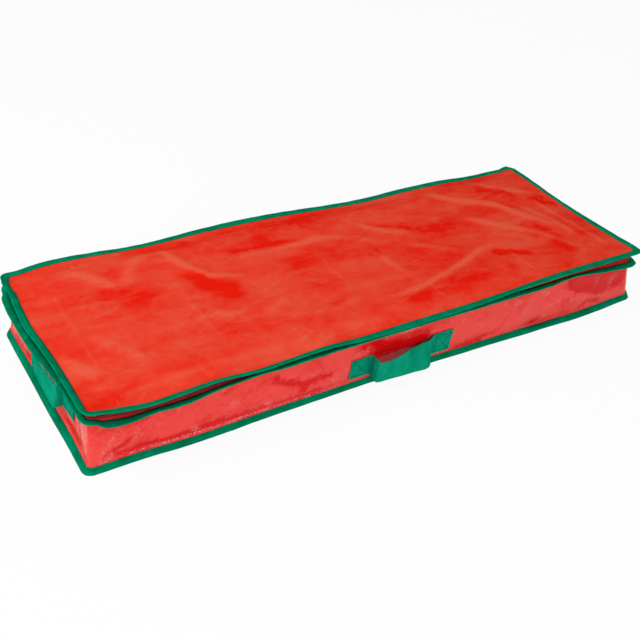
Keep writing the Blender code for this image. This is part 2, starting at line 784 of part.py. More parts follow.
def carved(block, added, cuts):
    """One mesh from a block, the plates added to it and the plates cut from it."""
    for operation, others in (("UNION", added), ("DIFFERENCE", cuts)):
        for other in others:
            step = block.modifiers.new(operation.lower(), "BOOLEAN")
            step.operation = operation
            step.object = other
    data = evaluated_mesh(block)
    for thing in [block] + added + cuts:
        bpy.data.objects.remove(thing, do_unlink=True)
    return data


def arch_outline(length, height, cut):
    """Half of an arch's edge in (y, x): up one leg, over a cut corner and down the other."""
    half = length / 2
    return ((-half, 0), (-half, height - cut), (-half + cut, height), (half - cut, height),
            (half, height - cut), (half, 0))


def slider_levels():
    """Out distances from the zip's middle plane to the slider's plates."""
    inner_face = -(SHEET / 2 + CLEARANCE)
    outer_face = SHEET / 2 + 2 * CLEARANCE + 2 * COIL_RADIUS
    return inner_face, outer_face


def slider_outline(half_width, front_flare, overrun):
    """A shield: a flared front where the coils part, and a narrower rear.

    A channel runs past both ends by the overrun, so its corners aren't cut.
    """
    half = SLIDER_LENGTH / 2
    shoulder = half_width + front_flare
    cut = 0 if overrun else half_width / 3
    upper = [(-half - overrun, shoulder - cut), (-half + cut, shoulder), (-half / 4, shoulder),
             (half / 4, half_width), (half - cut, half_width), (half + overrun, half_width - cut)]
    return upper + [(along, -height) for along, height in upper[::-1]]


def wedge_outline(half_thickness):
    """The wedge between the slider's plates, which parts the two coils."""
    front = -SLIDER_LENGTH / 2 + SLIDER_PLATE
    upper = [(front, 0), (front + WEDGE_LENGTH / 4, half_thickness),
             (front + WEDGE_LENGTH * 3 / 4, half_thickness), (front + WEDGE_LENGTH, 0)]
    return upper + [(along, -height) for along, height in upper[-2:0:-1]]


def slider_mesh():
    """The slider: a shield-shaped block with the coils' channels and the tapes' slot cut
    through it round the wedge, and the bridge for the pull tab on top."""
    inner_face, outer_face = slider_levels()
    half_channel = COIL_GAP / 2 + 2 * COIL_RADIUS + CLEARANCE
    half_width = half_channel + SLIDER_PLATE
    depth = outer_face - inner_face + 2 * SLIDER_PLATE
    block = flat_plate("block", [slider_outline(half_width, SLIDER_FLARE, 0)], depth,
                       (outer_face + inner_face) / 2)
    wedge_half = COIL_GAP / 2 - CLEARANCE
    slot_top = SHEET / 2 + CLEARANCE
    past_end = SLIDER_LENGTH / 2 + CUT_OVERRUN
    past_side = half_width + SLIDER_FLARE + CUT_OVERRUN
    slot_edge = [(-past_end, -past_side), (past_end, -past_side), (past_end, past_side),
                 (-past_end, past_side)]
    slot = flat_plate("slot", [slot_edge, wedge_outline(wedge_half)], slot_top - inner_face,
                      (slot_top + inner_face) / 2)
    channel = flat_plate("channel", [slider_outline(half_channel, SLIDER_FLARE, CUT_OVERRUN),
                                     wedge_outline(wedge_half + WEDGE_STEP)],
                         outer_face, outer_face / 2)
    return carved(block, [bridge_plate(outer_face)], [slot, channel])


def bridge_plate(outer_face):
    """The bridge that holds the pull tab, standing on the outer plate."""
    sunk = SLIDER_PLATE / 2
    outer_edge = arch_outline(BRIDGE_LENGTH, BRIDGE_ROOM + BRIDGE_BAR + sunk, BRIDGE_CORNER)
    inner_edge = arch_outline(BRIDGE_LENGTH - 2 * BRIDGE_BAR, BRIDGE_ROOM + sunk,
                              BRIDGE_CORNER / 2)
    plate = flat_plate("bridge", [list(outer_edge) + list(inner_edge)[::-1]], BRIDGE_WIDTH, 0)
    base = outer_face + SLIDER_PLATE - sunk
    for vertex in plate.data.vertices:
        across, along, height = vertex.co
        vertex.co = (base + height, along, across)
    mesh = bmesh.new()
    mesh.from_mesh(plate.data)
    turn_outward(mesh)
    mesh.to_mesh(plate.data)
    mesh.free()
    return plate


def tab_mesh():
    """The pull tab, lying forward from its bar, with a slot that the bridge passes through."""
    half_eye = TAB_WIDTH / 2
    half_end = TAB_END_WIDTH / 2
    bar = TAB_BAR / 2
    cut = half_eye / 3
    end = -(TAB_LENGTH - bar)
    upper = [(bar, half_eye - cut), (bar - cut, half_eye), (-TAB_SLOT_LENGTH - bar, half_eye),
             (-TAB_SLOT_LENGTH - 3 * bar, half_eye - cut), (-TAB_LENGTH / 2, half_eye),
             (end + half_end, half_end), (end + half_end / 3, half_end * 0.8),
             (end, half_end / 3)]
    outline = upper + [(along, -height) for along, height in upper[::-1]]
    slot_half = BRIDGE_WIDTH / 2 + TAB_SLOT_MARGIN
    slot = [(-bar, slot_half), (-bar, -slot_half), (-bar - TAB_SLOT_LENGTH, -slot_half),
            (-bar - TAB_SLOT_LENGTH, slot_half)]
    plate = flat_plate("tab", [outline, slot], TAB_THICKNESS, 0)
    data = plate.data
    bpy.data.objects.remove(plate, do_unlink=True)
    return data


def add_slider(bag):
    """The slider on the right end's zip, parked at the back, and its pull tab."""
    place = TOP_PATH.back - TOP_PATH.radius - SLIDER_REST_INSET
    station = Station("right", share=side_share(TOP_PATH, "right", place))
    foot = station.on(TOP_PATH) + station.normal * station.zip_out
    home = Vector((foot.x, foot.y, station.zip_z))
    slider = bag.add_object("zip_slider", slider_mesh(), "slider_metal", home)
    outer_face = slider_levels()[1]
    pin = home + Vector((outer_face + SLIDER_PLATE + BRIDGE_ROOM / 2, 0, 0))
    bag.add_object("zip_pull_tab", tab_mesh(), "slider_metal", pin, slider)


def wall_face(side, along, height):
    """The middle of a wall's sheet at a place along it and a height, and its outward slope."""
    station = Station(side, share=side_share(TOP_PATH, side, along))
    rows = wall_rows(station)
    for low, high in zip(rows, rows[1:]):
        if height <= high[1] or high is rows[-1]:
            part = (height - low[1]) / (high[1] - low[1])
            out = mix(low[0], high[0], part)
            return station.on(BASE_PATH), station.normal, out


def on_wall(side, along, height, out):
    """A point in space at a place along a wall, a height and a distance outside its face."""
    foot, normal, face = wall_face(side, along, height)
    plan = foot + normal * (face + SHEET / 2 + out)
    if side in ("front", "back"):
        return Vector((along, plan.y, height))
    return Vector((plan.x, along, height))


def add_sewn_end(bag, name, side, start, end, foot):
    """A square of webbing sewn flat on a wall, with its lower edge at the foot height."""
    heights = (foot, foot + WEBBING_WIDTH / 2, foot + WEBBING_WIDTH)
    places = [mix(start, end, share) for share in (0, 0.5, 1)]
    rows = []
    for along in places:
        near = [on_wall(side, along, height, WEBBING_GAP) for height in heights]
        far = [on_wall(side, along, height, WEBBING_GAP + SEWN_END_THICKNESS)
               for height in heights]
        rows.append(near + far[::-1])
    mesh = loft(rows, [SIDE_NORMALS[side]] * len(rows), False)
    bag.add_mesh(name, mesh, "webbing")


def loop_edge(shares, bulge):
    """One edge of a handle's loop in plan: the (along, out) points of its two faces."""
    line = [Vector((along * HANDLE_SPAN, out * bulge)) for along, out in shares]
    runs = [(end - start).normalized() for start, end in zip(line, line[1:])]
    half = WEBBING_THICKNESS / 2
    offsets = [mitre(before, after, half) for before, after in zip(runs, runs[1:])]
    offsets = [Vector((-half, 0))] + offsets + [Vector((half, 0))]
    outer = [point + offset for point, offset in zip(line, offsets)]
    inner = [point - offset for point, offset in zip(line, offsets)]
    return outer, inner


def add_loop(bag, name, side, centre, foot, bulge):
    """The free part of a handle, bulging from the wall between its two sewn ends."""
    heights = (foot + WEBBING_WIDTH, foot + WEBBING_WIDTH / 2, foot)
    shares = FRONT_LOOP_SHARES if side == "front" else END_LOOP_SHARES
    top_edge = loop_edge(shares["top"], bulge)
    low_edge = loop_edge(shares["low"], bulge)
    start_gap = WEBBING_GAP + CLEARANCE
    rows = []
    for tops, lows in zip(zip(*top_edge), zip(*low_edge)):
        faces = []
        for top, low in zip(tops, lows):
            points = (top, mix(top, low, 1 / 2), low)
            faces.append([on_wall(side, centre + point.x, height, point.y + start_gap)
                          for point, height in zip(points, heights)])
        rows.append(faces[0] + faces[1][::-1])
    mesh = loft(rows, [SIDE_NORMALS[side]] * len(rows), False)
    pin = on_wall(side, centre, heights[0], WEBBING_GAP)
    bag.add_mesh(name, mesh, "webbing", pin)


def add_handle(bag, side, centre, level_share, bulge):
    """A webbing handle: two sewn ends and the loop between them.

    Its level is a share of the room that a wall leaves between its seams.
    """
    base_seam = FOOT_GAP + TURN_RADIUS + SHEET / 2 + FLANGE_REACH * math.sin(BASE_TILT)
    foot = mix(base_seam, RIM_HEIGHT - WEBBING_WIDTH, level_share)
    inner = HANDLE_SPAN / 2
    outer = inner + SEWN_END_LENGTH
    ends = ("left", "right") if side == "front" else ("front", "back")
    for end, sign in zip(ends, (-1, 1)):
        add_sewn_end(bag, f"{side}_handle_{end}_end", side,
                     centre + sign * (inner + WEBBING_THICKNESS), centre + sign * outer, foot)
    add_loop(bag, side + "_handle_loop", side, centre, foot, bulge)


def add_lid_hinge(bag):
    """The empty on the line that the lid turns about."""
    station = Station("back", share=0)
    hinge = bpy.data.objects.new("lid_hinge_line", None)
    bag.collection.objects.link(hinge)
    place = TOP_PATH.back + BINDING_WIDTH + LID_HINGE_CLEARANCE
    hinge.location = (0, place, (station.rim_z + station.lid_z) / 2)
    return hinge


def build():
    clear_scene()
    bag = Bag()
    lid = add_lid_hinge(bag)
    bag.ring("bottom_panel", bottom_panel_section, "wall_film", open_middle=True)
    bag.ring("bottom_binding", base_binding, "binding_tape")
    add_walls(bag)
    bag.ring("rim_binding", rim_binding, "binding_tape")
    bag.ring("top_panel", top_panel_section, "lid_fabric", lid, open_middle=True)
    bag.ring("top_binding", lid_binding, "binding_tape", lid)
    add_zip(bag, lid)
    add_slider(bag)
    add_handle(bag, "front", FRONT_HANDLE_SHIFT, FRONT_HANDLE_LEVEL_SHARE, FRONT_HANDLE_BULGE)
    for side in ("left", "right"):
        add_handle(bag, side, END_HANDLE_SHIFT, END_HANDLE_LEVEL_SHARE, END_HANDLE_BULGE)


build()
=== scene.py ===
"""Looks of the decoration storage bag: its fabric lid, film walls, bound seams, zip and webbing.

Lengths are metres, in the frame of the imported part: +X along the bag, -Y the front, +Z up.
Every cloth piece is a dense loft along the bag's three seams, with the sags, folds and creases
moved into its mesh. The stations of all the lofts are shared, so that layers follow each other.
"""
import math

import bmesh
import bpy
import numpy as np
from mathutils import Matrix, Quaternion, Vector, noise


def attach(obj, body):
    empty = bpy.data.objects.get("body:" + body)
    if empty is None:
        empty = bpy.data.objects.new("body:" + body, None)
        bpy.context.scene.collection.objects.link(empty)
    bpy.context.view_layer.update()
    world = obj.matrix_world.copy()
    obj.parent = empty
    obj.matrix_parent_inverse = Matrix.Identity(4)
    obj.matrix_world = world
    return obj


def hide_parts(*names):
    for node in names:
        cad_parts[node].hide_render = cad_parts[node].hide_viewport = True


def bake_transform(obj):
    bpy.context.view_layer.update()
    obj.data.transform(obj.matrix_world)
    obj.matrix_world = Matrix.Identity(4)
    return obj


MM = 0.001

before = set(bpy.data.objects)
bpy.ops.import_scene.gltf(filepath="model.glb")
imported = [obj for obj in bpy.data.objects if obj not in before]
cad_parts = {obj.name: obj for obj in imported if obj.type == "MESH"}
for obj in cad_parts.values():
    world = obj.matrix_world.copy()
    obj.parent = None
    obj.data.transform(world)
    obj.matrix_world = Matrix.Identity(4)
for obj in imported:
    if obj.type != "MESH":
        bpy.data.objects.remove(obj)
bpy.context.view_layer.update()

# Seams in plan: left, right, front, back and corner radius
BASE_SEAM = (-520 * MM, 520 * MM, -169.5 * MM, 169.5 * MM, 10 * MM)
TOP_SEAM = (-514 * MM, 499 * MM, -171 * MM, 172 * MM, 7 * MM)

# Sheets and seam flanges
SHEET = 0.5 * MM
LAYER = 0.4 * MM
TURN_RADIUS = 1.2 * MM
FLANGE_REACH = 12.05 * MM
BINDING_SETBACK = 1.6 * MM
SHEET_BEND = 0.9 * MM
SEAM_REACH = 1.5 * MM
FLOOR_GAP = 0.1 * MM
LID_TOP = 107.5 * MM
CROWN_SLOPE = 42 * MM
PLEAT_LENGTH = 14 * MM

# Zip
COIL_RADIUS = 0.85 * MM
COIL_GAP = 1.2 * MM
COIL_PITCH = 1.3 * MM
COIL_SIDES = 7
COIL_NARROW = 0.72
COIL_STAND = 0.1 * MM
ZIP_STRAIGHT_FROM = 485 * MM
ZIP_EASE = 60 * MM
ZIP_STAND = 0.5 * MM
ZIP_LEVEL_SHARE = 0.47
ZIP_END_LENGTH = 62 * MM
ZIP_CORNER_LAP = 19 * MM

# Hinge strip: how deep it folds in, and how many rows it has between its seams
HINGE_FOLD = 9 * MM
HINGE_ROWS = 9

# Webbing handles
WEBBING_WIDTH = 38 * MM
WEBBING_THICKNESS = 1.6 * MM
WEBBING_GAP = 0.8 * MM
PATCH_LENGTH = 38 * MM
HANDLE_SPAN = 121 * MM

# Threads
THREAD = 0.7 * MM
STITCH_PITCH = 3 * MM
STITCH_INSET = 1.6 * MM
BOX_INSET = 4 * MM

# Stations of the lofts, on the long and the short sides and round each corner
LONG_STEPS = 192
SHORT_STEPS = 66
CORNER_STEPS = 10
SIDES = ("front", "right", "back", "left")
SIDE_STEPS = {"front": LONG_STEPS, "right": SHORT_STEPS, "back": LONG_STEPS, "left": SHORT_STEPS}

# Each table is read along X on the front and the back, and along Y on the ends.
# Pairs of (place, height) in millimetres
RIM_HEIGHTS = {
    "front": ((-507, 95), (-498, 90), (-484, 87), (-465, 83), (-433, 82), (-385, 82), (-330, 85.5),
              (-275, 88), (-220, 90.4), (-160, 92.3), (-95, 90), (-28, 91), (45, 91.7), (118, 91.3),
              (196, 93), (286, 91.6), (342, 92), (408, 89), (438, 87), (492, 85.2)),
    "right": ((-164, 86), (-137, 87), (165, 87)),
    "back": ((-507, 87), (-380, 87), (60, 84), (492, 84)),
    "left": ((-164, 95), (-100, 92), (0, 91), (120, 88), (165, 87)),
}
LID_HEIGHTS = {
    "front": ((-507, 108), (-490, 104), (-472, 101), (-433, 95.2), (-385, 97), (-330, 98.9),
              (-275, 94.8), (-220, 96.5), (-160, 100), (-95, 97.6), (-28, 98.8), (45, 98.9),
              (118, 99), (196, 101.5), (286, 106.6), (492, 107)),
    "right": ((-164, 107), (-137, 106), (165, 105)),
    "back": ((-507, 102), (-470, 103), (-420, 104), (-290, 100), (-180, 103), (0, 103), (73, 100),
             (153, 98), (238, 101), (326, 102), (419, 99), (470, 100), (492, 100)),
    "left": ((-164, 108), (-70, 106), (110, 106), (165, 102)),
}
# Pairs of (place, tilt) in degrees, positive where the flange's edge stands higher than its seam
RIM_TILTS = {
    "front": ((-507, 8), (-498, -6), (-484, -14), (-465, 0), (-433, 18), (-385, 13), (-330, 28),
              (-275, 32), (-220, 18), (-160, 17), (-95, 26), (-28, 22), (45, 20), (118, 17),
              (196, 10), (286, 13), (342, 27), (408, 9), (438, 0), (492, -15)),
    "right": ((-164, -3), (-137, 9), (165, 9)),
    "back": ((-507, 0), (492, 6)),
    "left": ((-164, 28), (-110, 30), (-60, 18), (0, 4), (80, 3), (140, -6), (165, -30)),
}
LID_TILTS = {
    "front": ((-507, 24), (-472, 21), (-433, 24), (-385, 27), (-330, 32), (-275, 30), (-220, 30),
              (-160, 24), (-95, 14), (-28, 4), (45, 4), (118, 10), (196, 18), (286, 9), (408, 3),
              (492, 5)),
    "right": ((-164, 9), (-50, 6), (50, -6), (165, 3)),
    "back": ((-507, 6), (-280, -3), (-105, 12), (70, 4), (270, 8), (492, 0)),
    "left": ((-164, 36), (-100, 32), (-20, 24), (30, 18), (100, 30), (150, 30), (165, 20)),
}
BASE_TILTS = {
    "front": ((-510, -70), (0, -76), (112, -70), (230, -55), (305, -14), (350, -36), (444, -42),
              (510, -60)),
    "right": ((-160, -61), (160, -68)),
    "back": ((-510, -68), (510, -68)),
    "left": ((-160, -50), (-100, -34), (-37, -24), (46, -34), (120, -50), (160, -56)),
}
# Pairs of (place, distance) in millimetres: how far a seam stands outside its straight side
BASE_SHIFTS = {
    "front": ((-510, 0), (-440, 0), (-380, 3), (-320, 3), (-260, 1.5), (-140, 1), (0, 0), (67, 1),
              (144, 2.5), (226, 3), (300, 0), (371, 5.5), (433, 4.5), (510, 4)),
    "right": ((-160, 6), (-100, 3), (0, 0), (160, 0)),
    "back": ((-510, 0), (510, 0)),
    "left": ((-160, -5), (-100, -7.5), (-37, -7.5), (60, -6.5), (120, -4.5), (160, -4)),
}
RIM_SHIFTS = {
    "front": ((-507, 0), (492, 0)),
    "right": ((-164, 0), (20, 0), (110, 4), (165, 5)),
    "back": ((-507, -4), (-450, 0), (492, 0)),
    "left": ((-164, 0), (-69, 0.5), (-34, 3), (14, 6), (60, 7), (110, 6), (145, 2), (165, -3)),
}
LID_SHIFTS = {
    "front": ((-507, 0), (492, 0)),
    "right": ((-164, 0), (-20, 0), (60, 4), (110, 6), (165, 6)),
    "back": ((-507, -5), (-450, 2), (-390, 2.5), (-279, 2), (-215, 3), (-148, 3), (73, -1),
             (238, -1), (419, -2), (492, -2)),
    "left": ((-164, -0.5), (-52, -0.5), (-18, 1), (29, 4.2), (60, 3.5), (90, 2.3), (110, 0),
             (149, 0), (165, -4)),
}
# Pairs of (place, distance) in millimetres: how far the zip stands back from its seams
ZIP_RECESSES = {
    "front": ((-340, 0), (-285, 2.7), (215, 2.7), (300, 0)),
    "right": ((-164, 0), (165, 0)),
    "back": ((-507, 0), (492, 0)),
    "left": ((-164, 0), (165, 0)),
}
# How far each wall stands out at its middle
WALL_BULGES = {"front": 2.5 * MM, "right": 2.5 * MM, "back": 2.5 * MM, "left": -4 * MM}
# How sharply the lid's flange runs out at each corner, from 0 for round to 1 for square;
# each corner is named by the side that it follows
LID_EARS = {"front": 0.9, "right": 0.75, "back": 0, "left": 0.15}
RIM_EARS = {"front": 0.3, "right": 0.1, "back": 0, "left": 0.1}
BASE_EARS = {"front": 0.5, "right": 0.2, "back": 0.1, "left": 0.1}


def read_table(table, places):
    """A smooth curve through a table's pairs, read at places in metres; level past its ends."""
    at = np.array([pair[0] for pair in table], float) * MM
    values = np.array([pair[1] for pair in table], float)
    slopes = np.gradient(values, at) if len(at) > 2 else np.zeros(len(at))
    slopes[0] = slopes[-1] = 0
    places = np.clip(places, at[0], at[-1])
    index = np.clip(np.searchsorted(at, places) - 1, 0, len(at) - 2)
    span = at[index + 1] - at[index]
    t = (places - at[index]) / span
    return (values[index] * (1 + 2 * t) * (1 - t) ** 2
            + slopes[index] * span * t * (1 - t) ** 2
            + values[index + 1] * t * t * (3 - 2 * t)
            + slopes[index + 1] * span * t * t * (t - 1))


def smooth(share):
    """Ease from 0 to 1."""
    share = np.clip(share, 0, 1)
    return share * share * (3 - 2 * share)


def field(points, scale, seed, octaves=2):
    """Smooth noise from -1 to 1 at an array of points; scale is the size of its waves."""
    shift = Vector((seed * 7.3, seed * 3.1, seed * 5.7))
    flat = points.reshape(-1, 3)
    total = np.zeros(len(flat))
    for octave in range(octaves):
        factor = 2 ** octave / scale
        total += np.array([noise.noise(Vector(p * factor) + shift * (octave + 1))
                           for p in flat]) / 2 ** octave
    return total.reshape(points.shape[:-1])


class Ring:
    """The shared stations, anticlockwise from the middle of the front-left corner.

    Every side runs from the middle of one corner to the middle of the next. The turn is the
    share of a right angle by which a corner station faces away from its side's direction.
    """

    def __init__(self):
        sides, alongs, turns = [], [], []
        half = CORNER_STEPS // 2
        for side in SIDES:
            steps = SIDE_STEPS[side]
            rising = side in ("front", "right")
            for step in range(steps + CORNER_STEPS):
                place = min(max((step - half) / steps, 0), 1)
                turn = min(step - half, 0) + max(step - half - steps, 0)
                sides.append(side)
                alongs.append(2 * place - 1 if rising else 1 - 2 * place)
                turns.append(turn / CORNER_STEPS)
        self.sides = np.array(sides)
        self.alongs = np.array(alongs)
        self.turns = np.array(turns)
        self.count = len(sides)
        angles = np.array([-90 + 90 * SIDES.index(side) for side in sides]) + self.turns * 90
        self.normals = np.stack([np.cos(np.radians(angles)), np.sin(np.radians(angles)),
                                 np.zeros(self.count)], axis=1)

    def ears(self, shares, seam):
        """How many times as far a flange runs out at each station: more where corners are square."""
        square = np.array([shares[side if turn > 0 else SIDES[SIDES.index(side) - 1]]
                           for side, turn in zip(self.sides, self.turns)])
        reach = FLANGE_REACH + TURN_RADIUS
        stretch = (1 / np.cos(np.radians(90 * self.turns)) - 1) * (seam[4] + reach) / reach
        return 1 + stretch * square

    def plan(self, seam):
        """The stations' points on a seam, at height 0."""
        left, right, front, back, radius = seam
        points = np.zeros((self.count, 3))
        for index, (side, along) in enumerate(zip(self.sides, self.alongs)):
            across = (along + 1) / 2
            x = left + radius + across * (right - left - 2 * radius)
            y = front + radius + across * (back - front - 2 * radius)
            x = {"left": left + radius, "right": right - radius}.get(side, x)
            y = {"front": front + radius, "back": back - radius}.get(side, y)
            points[index] = (x, y, 0)
        return points + self.normals * radius

    def read(self, tables, seam):
        """A quantity at every station: its side's table, blended round the corners."""
        points = self.plan(seam)
        values = np.zeros(self.count)
        for number, side in enumerate(SIDES):
            here = self.sides == side
            axis = 0 if side in ("front", "back") else 1
            values[here] = read_table(tables[side], points[here, axis])
            for at_end in (False, True):
                corner = here & ((self.turns > 0) if at_end else (self.turns < 0))
                other = SIDES[(number + (1 if at_end else -1)) % 4]
                low_end = (other in ("front", "right")) == at_end
                far = tables[other][0 if low_end else -1][1]
                share = np.abs(self.turns[corner])
                values[corner] = values[corner] * (1 - share) + far * share
        return values


ring = Ring()


class Flange:
    """A seam's flange all round the bag: its root line and the tilt of its stack."""

    def __init__(self, seam, shifts, heights, tilts, ears):
        self.shift = ring.read(shifts, seam) * MM
        self.plan = ring.plan(seam) + ring.normals * self.shift[:, None]
        self.heights = heights
        self.tilts = np.radians(tilts)
        self.ears = ring.ears(ears, seam)

    def at(self, distance, level):
        """The line at a distance along the flange and a level above its middle plane."""
        cos, sin = np.cos(self.tilts), np.sin(self.tilts)
        distance = distance * self.ears
        points = self.plan + ring.normals * (distance * cos - level * sin)[:, None]
        points[:, 2] = self.heights + distance * sin + level * cos
        return points


top_plan = ring.plan(TOP_SEAM)
rim_z = ring.read(RIM_HEIGHTS, TOP_SEAM) * MM
lid_z = ring.read(LID_HEIGHTS, TOP_SEAM) * MM
base_tilt = ring.read(BASE_TILTS, BASE_SEAM)
base_z = (FLOOR_GAP + TURN_RADIUS + SHEET / 2
          - FLANGE_REACH * np.sin(np.radians(base_tilt)) * ring.ears(BASE_EARS, BASE_SEAM))
rim = Flange(TOP_SEAM, RIM_SHIFTS, rim_z, ring.read(RIM_TILTS, TOP_SEAM), RIM_EARS)
lid = Flange(TOP_SEAM, LID_SHIFTS, lid_z, ring.read(LID_TILTS, TOP_SEAM), LID_EARS)
base = Flange(BASE_SEAM, BASE_SHIFTS, base_z, base_tilt, BASE_EARS)
zip_out = ZIP_STAND - ring.read(ZIP_RECESSES, TOP_SEAM) * MM
zip_z = rim_z + (lid_z - rim_z) * ZIP_LEVEL_SHARE
# The zip follows both seams, but runs straight along the right end, where the slider is
zip_free = smooth((ZIP_STRAIGHT_FROM - top_plan[:, 0]) / ZIP_EASE)
zip_plan = top_plan + ring.normals * ((rim.shift + (lid.shift - rim.shift) * ZIP_LEVEL_SHARE)
                                      * zip_free)[:, None]


def beside(plan, out, height):
    """The line at a distance outside a plan line, and a height."""
    points = plan + ring.normals * np.reshape(out, (-1, 1))
    points[:, 2] = height
    return points


def span(start, end):
    """The station numbers from one to another, anticlockwise."""
    if end <= start:
        end += ring.count
    return [index % ring.count for index in range(start, end + 1)]


def side_span(side):
    """The station numbers of a whole side, from corner middle to corner middle."""
    start = int(np.argmax(ring.sides == side))
    return span(start, (start + SIDE_STEPS[side] + CORNER_STEPS) % ring.count)


def nearest_station(side, place):
    """The station on a side's straight part that is nearest a place along it."""
    axis = 0 if side in ("front", "back") else 1
    gaps = np.abs(top_plan[:, axis] - place)
    gaps[(ring.sides != side) | (ring.turns != 0)] = 1
    return int(np.argmin(gaps))


def add_object(name, data):
    """A new object in the scene, with its mesh, camera or lamp."""
    thing = bpy.data.objects.new(name, data)
    bpy.context.scene.collection.objects.link(thing)
    return thing


def make_object(name, points, faces, material, uvs):
    """A smooth mesh object; uvs gives each point its place on the cloth in metres."""
    mesh = bpy.data.meshes.new(name)
    mesh.from_pydata([tuple(p) for p in points], [], faces)
    mesh.shade_smooth()
    layer = mesh.uv_layers.new(name="cloth")
    corners = np.zeros(len(mesh.loops), int)
    mesh.loops.foreach_get("vertex_index", corners)
    layer.data.foreach_set("uv", np.array(uvs, float)[corners].ravel())
    mesh.materials.append(material)
    return add_object(name, mesh)


def give_value(thing, name, values):
    """Store a value at each point, such as its painted shade, for its material to read."""
    layer = thing.data.attributes.new(name, "FLOAT", "POINT")
    layer.data.foreach_set("value", np.array(values, float).ravel())


def thicken(thing, thickness=SHEET):
    """Give an open surface its thickness, equally to both sides."""
    step = thing.modifiers.new("thickness", "SOLIDIFY")
    step.thickness = thickness
    step.offset = 0
    return thing


def travel(points):
    """The distance along a line of points, from its start to each of them."""
    return np.concatenate([[0], np.cumsum(np.linalg.norm(np.diff(points, axis=0), axis=1))])


def skin(lines, count, closed=False):
    """The faces between neighbouring lines of points; closed joins the last line to the first."""
    return [(line * count + i, line * count + i + 1, (line + 1) % lines * count + i + 1,
             (line + 1) % lines * count + i)
            for line in range(lines if closed else lines - 1) for i in range(count - 1)]


def loft(name, rows, material, stations=None):
    """Skin lines that run along the seam; a list of stations limits the piece to a stretch."""
    closed_round = stations is None
    if closed_round:
        stations = list(range(ring.count)) + [0]
    grid = np.array(rows)[:, stations]
    lines, count = grid.shape[:2]
    along, across = travel(grid[0]), travel(grid[:, count // 2])
    uvs = [(u, v) for v in across for u in along]
    thing = make_object(name, grid.reshape(-1, 3), skin(lines, count), material, uvs)
    if closed_round:
        weld(thing.data)
    return thing


def weld(mesh):
    """Join points that lie in one place, and point the faces outward."""
    work = bmesh.new()
    work.from_mesh(mesh)
    bmesh.ops.remove_doubles(work, verts=work.verts, dist=MM / 100)
    bmesh.ops.recalc_face_normals(work, faces=work.faces)
    work.to_mesh(mesh)
    work.free()


def add_node(tree, kind, inputs=(), **settings):
    """A shader node with its inputs linked or set, and its settings."""
    made = tree.nodes.new("ShaderNode" + kind)
    for key, value in settings.items():
        setattr(made, key, value)
    for key, value in dict(inputs).items():
        if isinstance(value, bpy.types.NodeSocket):
            tree.links.new(value, made.inputs[key])
        else:
            made.inputs[key].default_value = value
    return made


class Shader:
    """Builds a procedural material: small helpers over its node tree."""

    def __init__(self, name, roughness, **sockets):
        self.material = bpy.data.materials.new(name)
        self.material.use_nodes = True
        self.tree = self.material.node_tree
        self.surface = self.tree.nodes["Principled BSDF"].inputs
        self.surface["Roughness"].default_value = roughness
        for key, value in sockets.items():
            socket = key.replace("_", " ").title().replace("Ior", "IOR")
            self.surface[socket].default_value = value
        self.place = self.node("TexCoord").outputs["Object"]
        self.cloth = self.node("UVMap").outputs["UV"]

    def node(self, kind, inputs=(), **settings):
        """A node in this material."""
        return add_node(self.tree, kind, inputs, **settings)

    def noise(self, scale, detail=2, source=None, distortion=0):
        """Noise from 0 to 1, with waves of 1 / scale metres."""
        inputs = {"Vector": source or self.place, "Scale": scale, "Detail": detail,
                  "Distortion": distortion}
        return self.node("TexNoise", inputs).outputs[0]

    def attribute(self, name):
        """A value that the mesh holds at each point."""
        return self.node("Attribute", attribute_name=name).outputs["Fac"]

    def ribs(self, pitch, axis, source=None):
        """Ribs from 0 to 1 across one axis of the cloth."""
        wave = self.node("TexWave", {"Vector": source or self.cloth,
                                     "Scale": math.pi / (10 * pitch), "Distortion": 0.0},
                         bands_direction=axis)
        return wave.outputs["Fac"]

    def range(self, value, low, high, new_low=0.0, new_high=1.0):
        """Stretch a part of a value's range, and clamp it."""
        return self.node("MapRange", {0: value, 1: low, 2: high, 3: new_low, 4: new_high}).outputs[0]

    def calculate(self, operation, first, second=0.5):
        """One sum of two values."""
        return self.node("Math", {0: first, 1: second}, operation=operation).outputs[0]

    def blend(self, share, first, second):
        """Blend two colours by a share."""
        return self.node("Mix", {0: share, 6: first, 7: second}, data_type="RGBA").outputs[2]

    def colour(self, value):
        self.tree.links.new(value, self.surface["Base Color"])

    def roughness(self, value):
        self.tree.links.new(value, self.surface["Roughness"])

    def bump(self, height, distance, strength=1.0, under=None):
        """Add a bump of a height in metres, over an earlier one."""
        inputs = {"Height": height, "Distance": distance, "Strength": strength}
        if under is not None:
            inputs["Normal"] = under
        made = self.node("Bump", inputs).outputs[0]
        self.tree.links.new(made, self.surface["Normal"])
        return made


# Where the lid was folded in its packing, along X
PRESS_LINES = (-470 * MM, -290 * MM, -45 * MM, 280 * MM)
PRESS_WIDTH = 0.8 * MM
# The lid's small creases run down to the right, and are longer than they are apart
CREASE_SLANT = math.radians(32)
CREASE_STRETCH = (0.5, 1.5, 1.0)
# The lid's red in painted shade, and with painted sheen
LID_SHADED_RED, LID_SHEEN_RED = (0.82, 0.012, 0.004, 1), (0.82, 0.105, 0.054, 1)
LID_FIBRE = (0.66, 0.012, 0.006, 1)


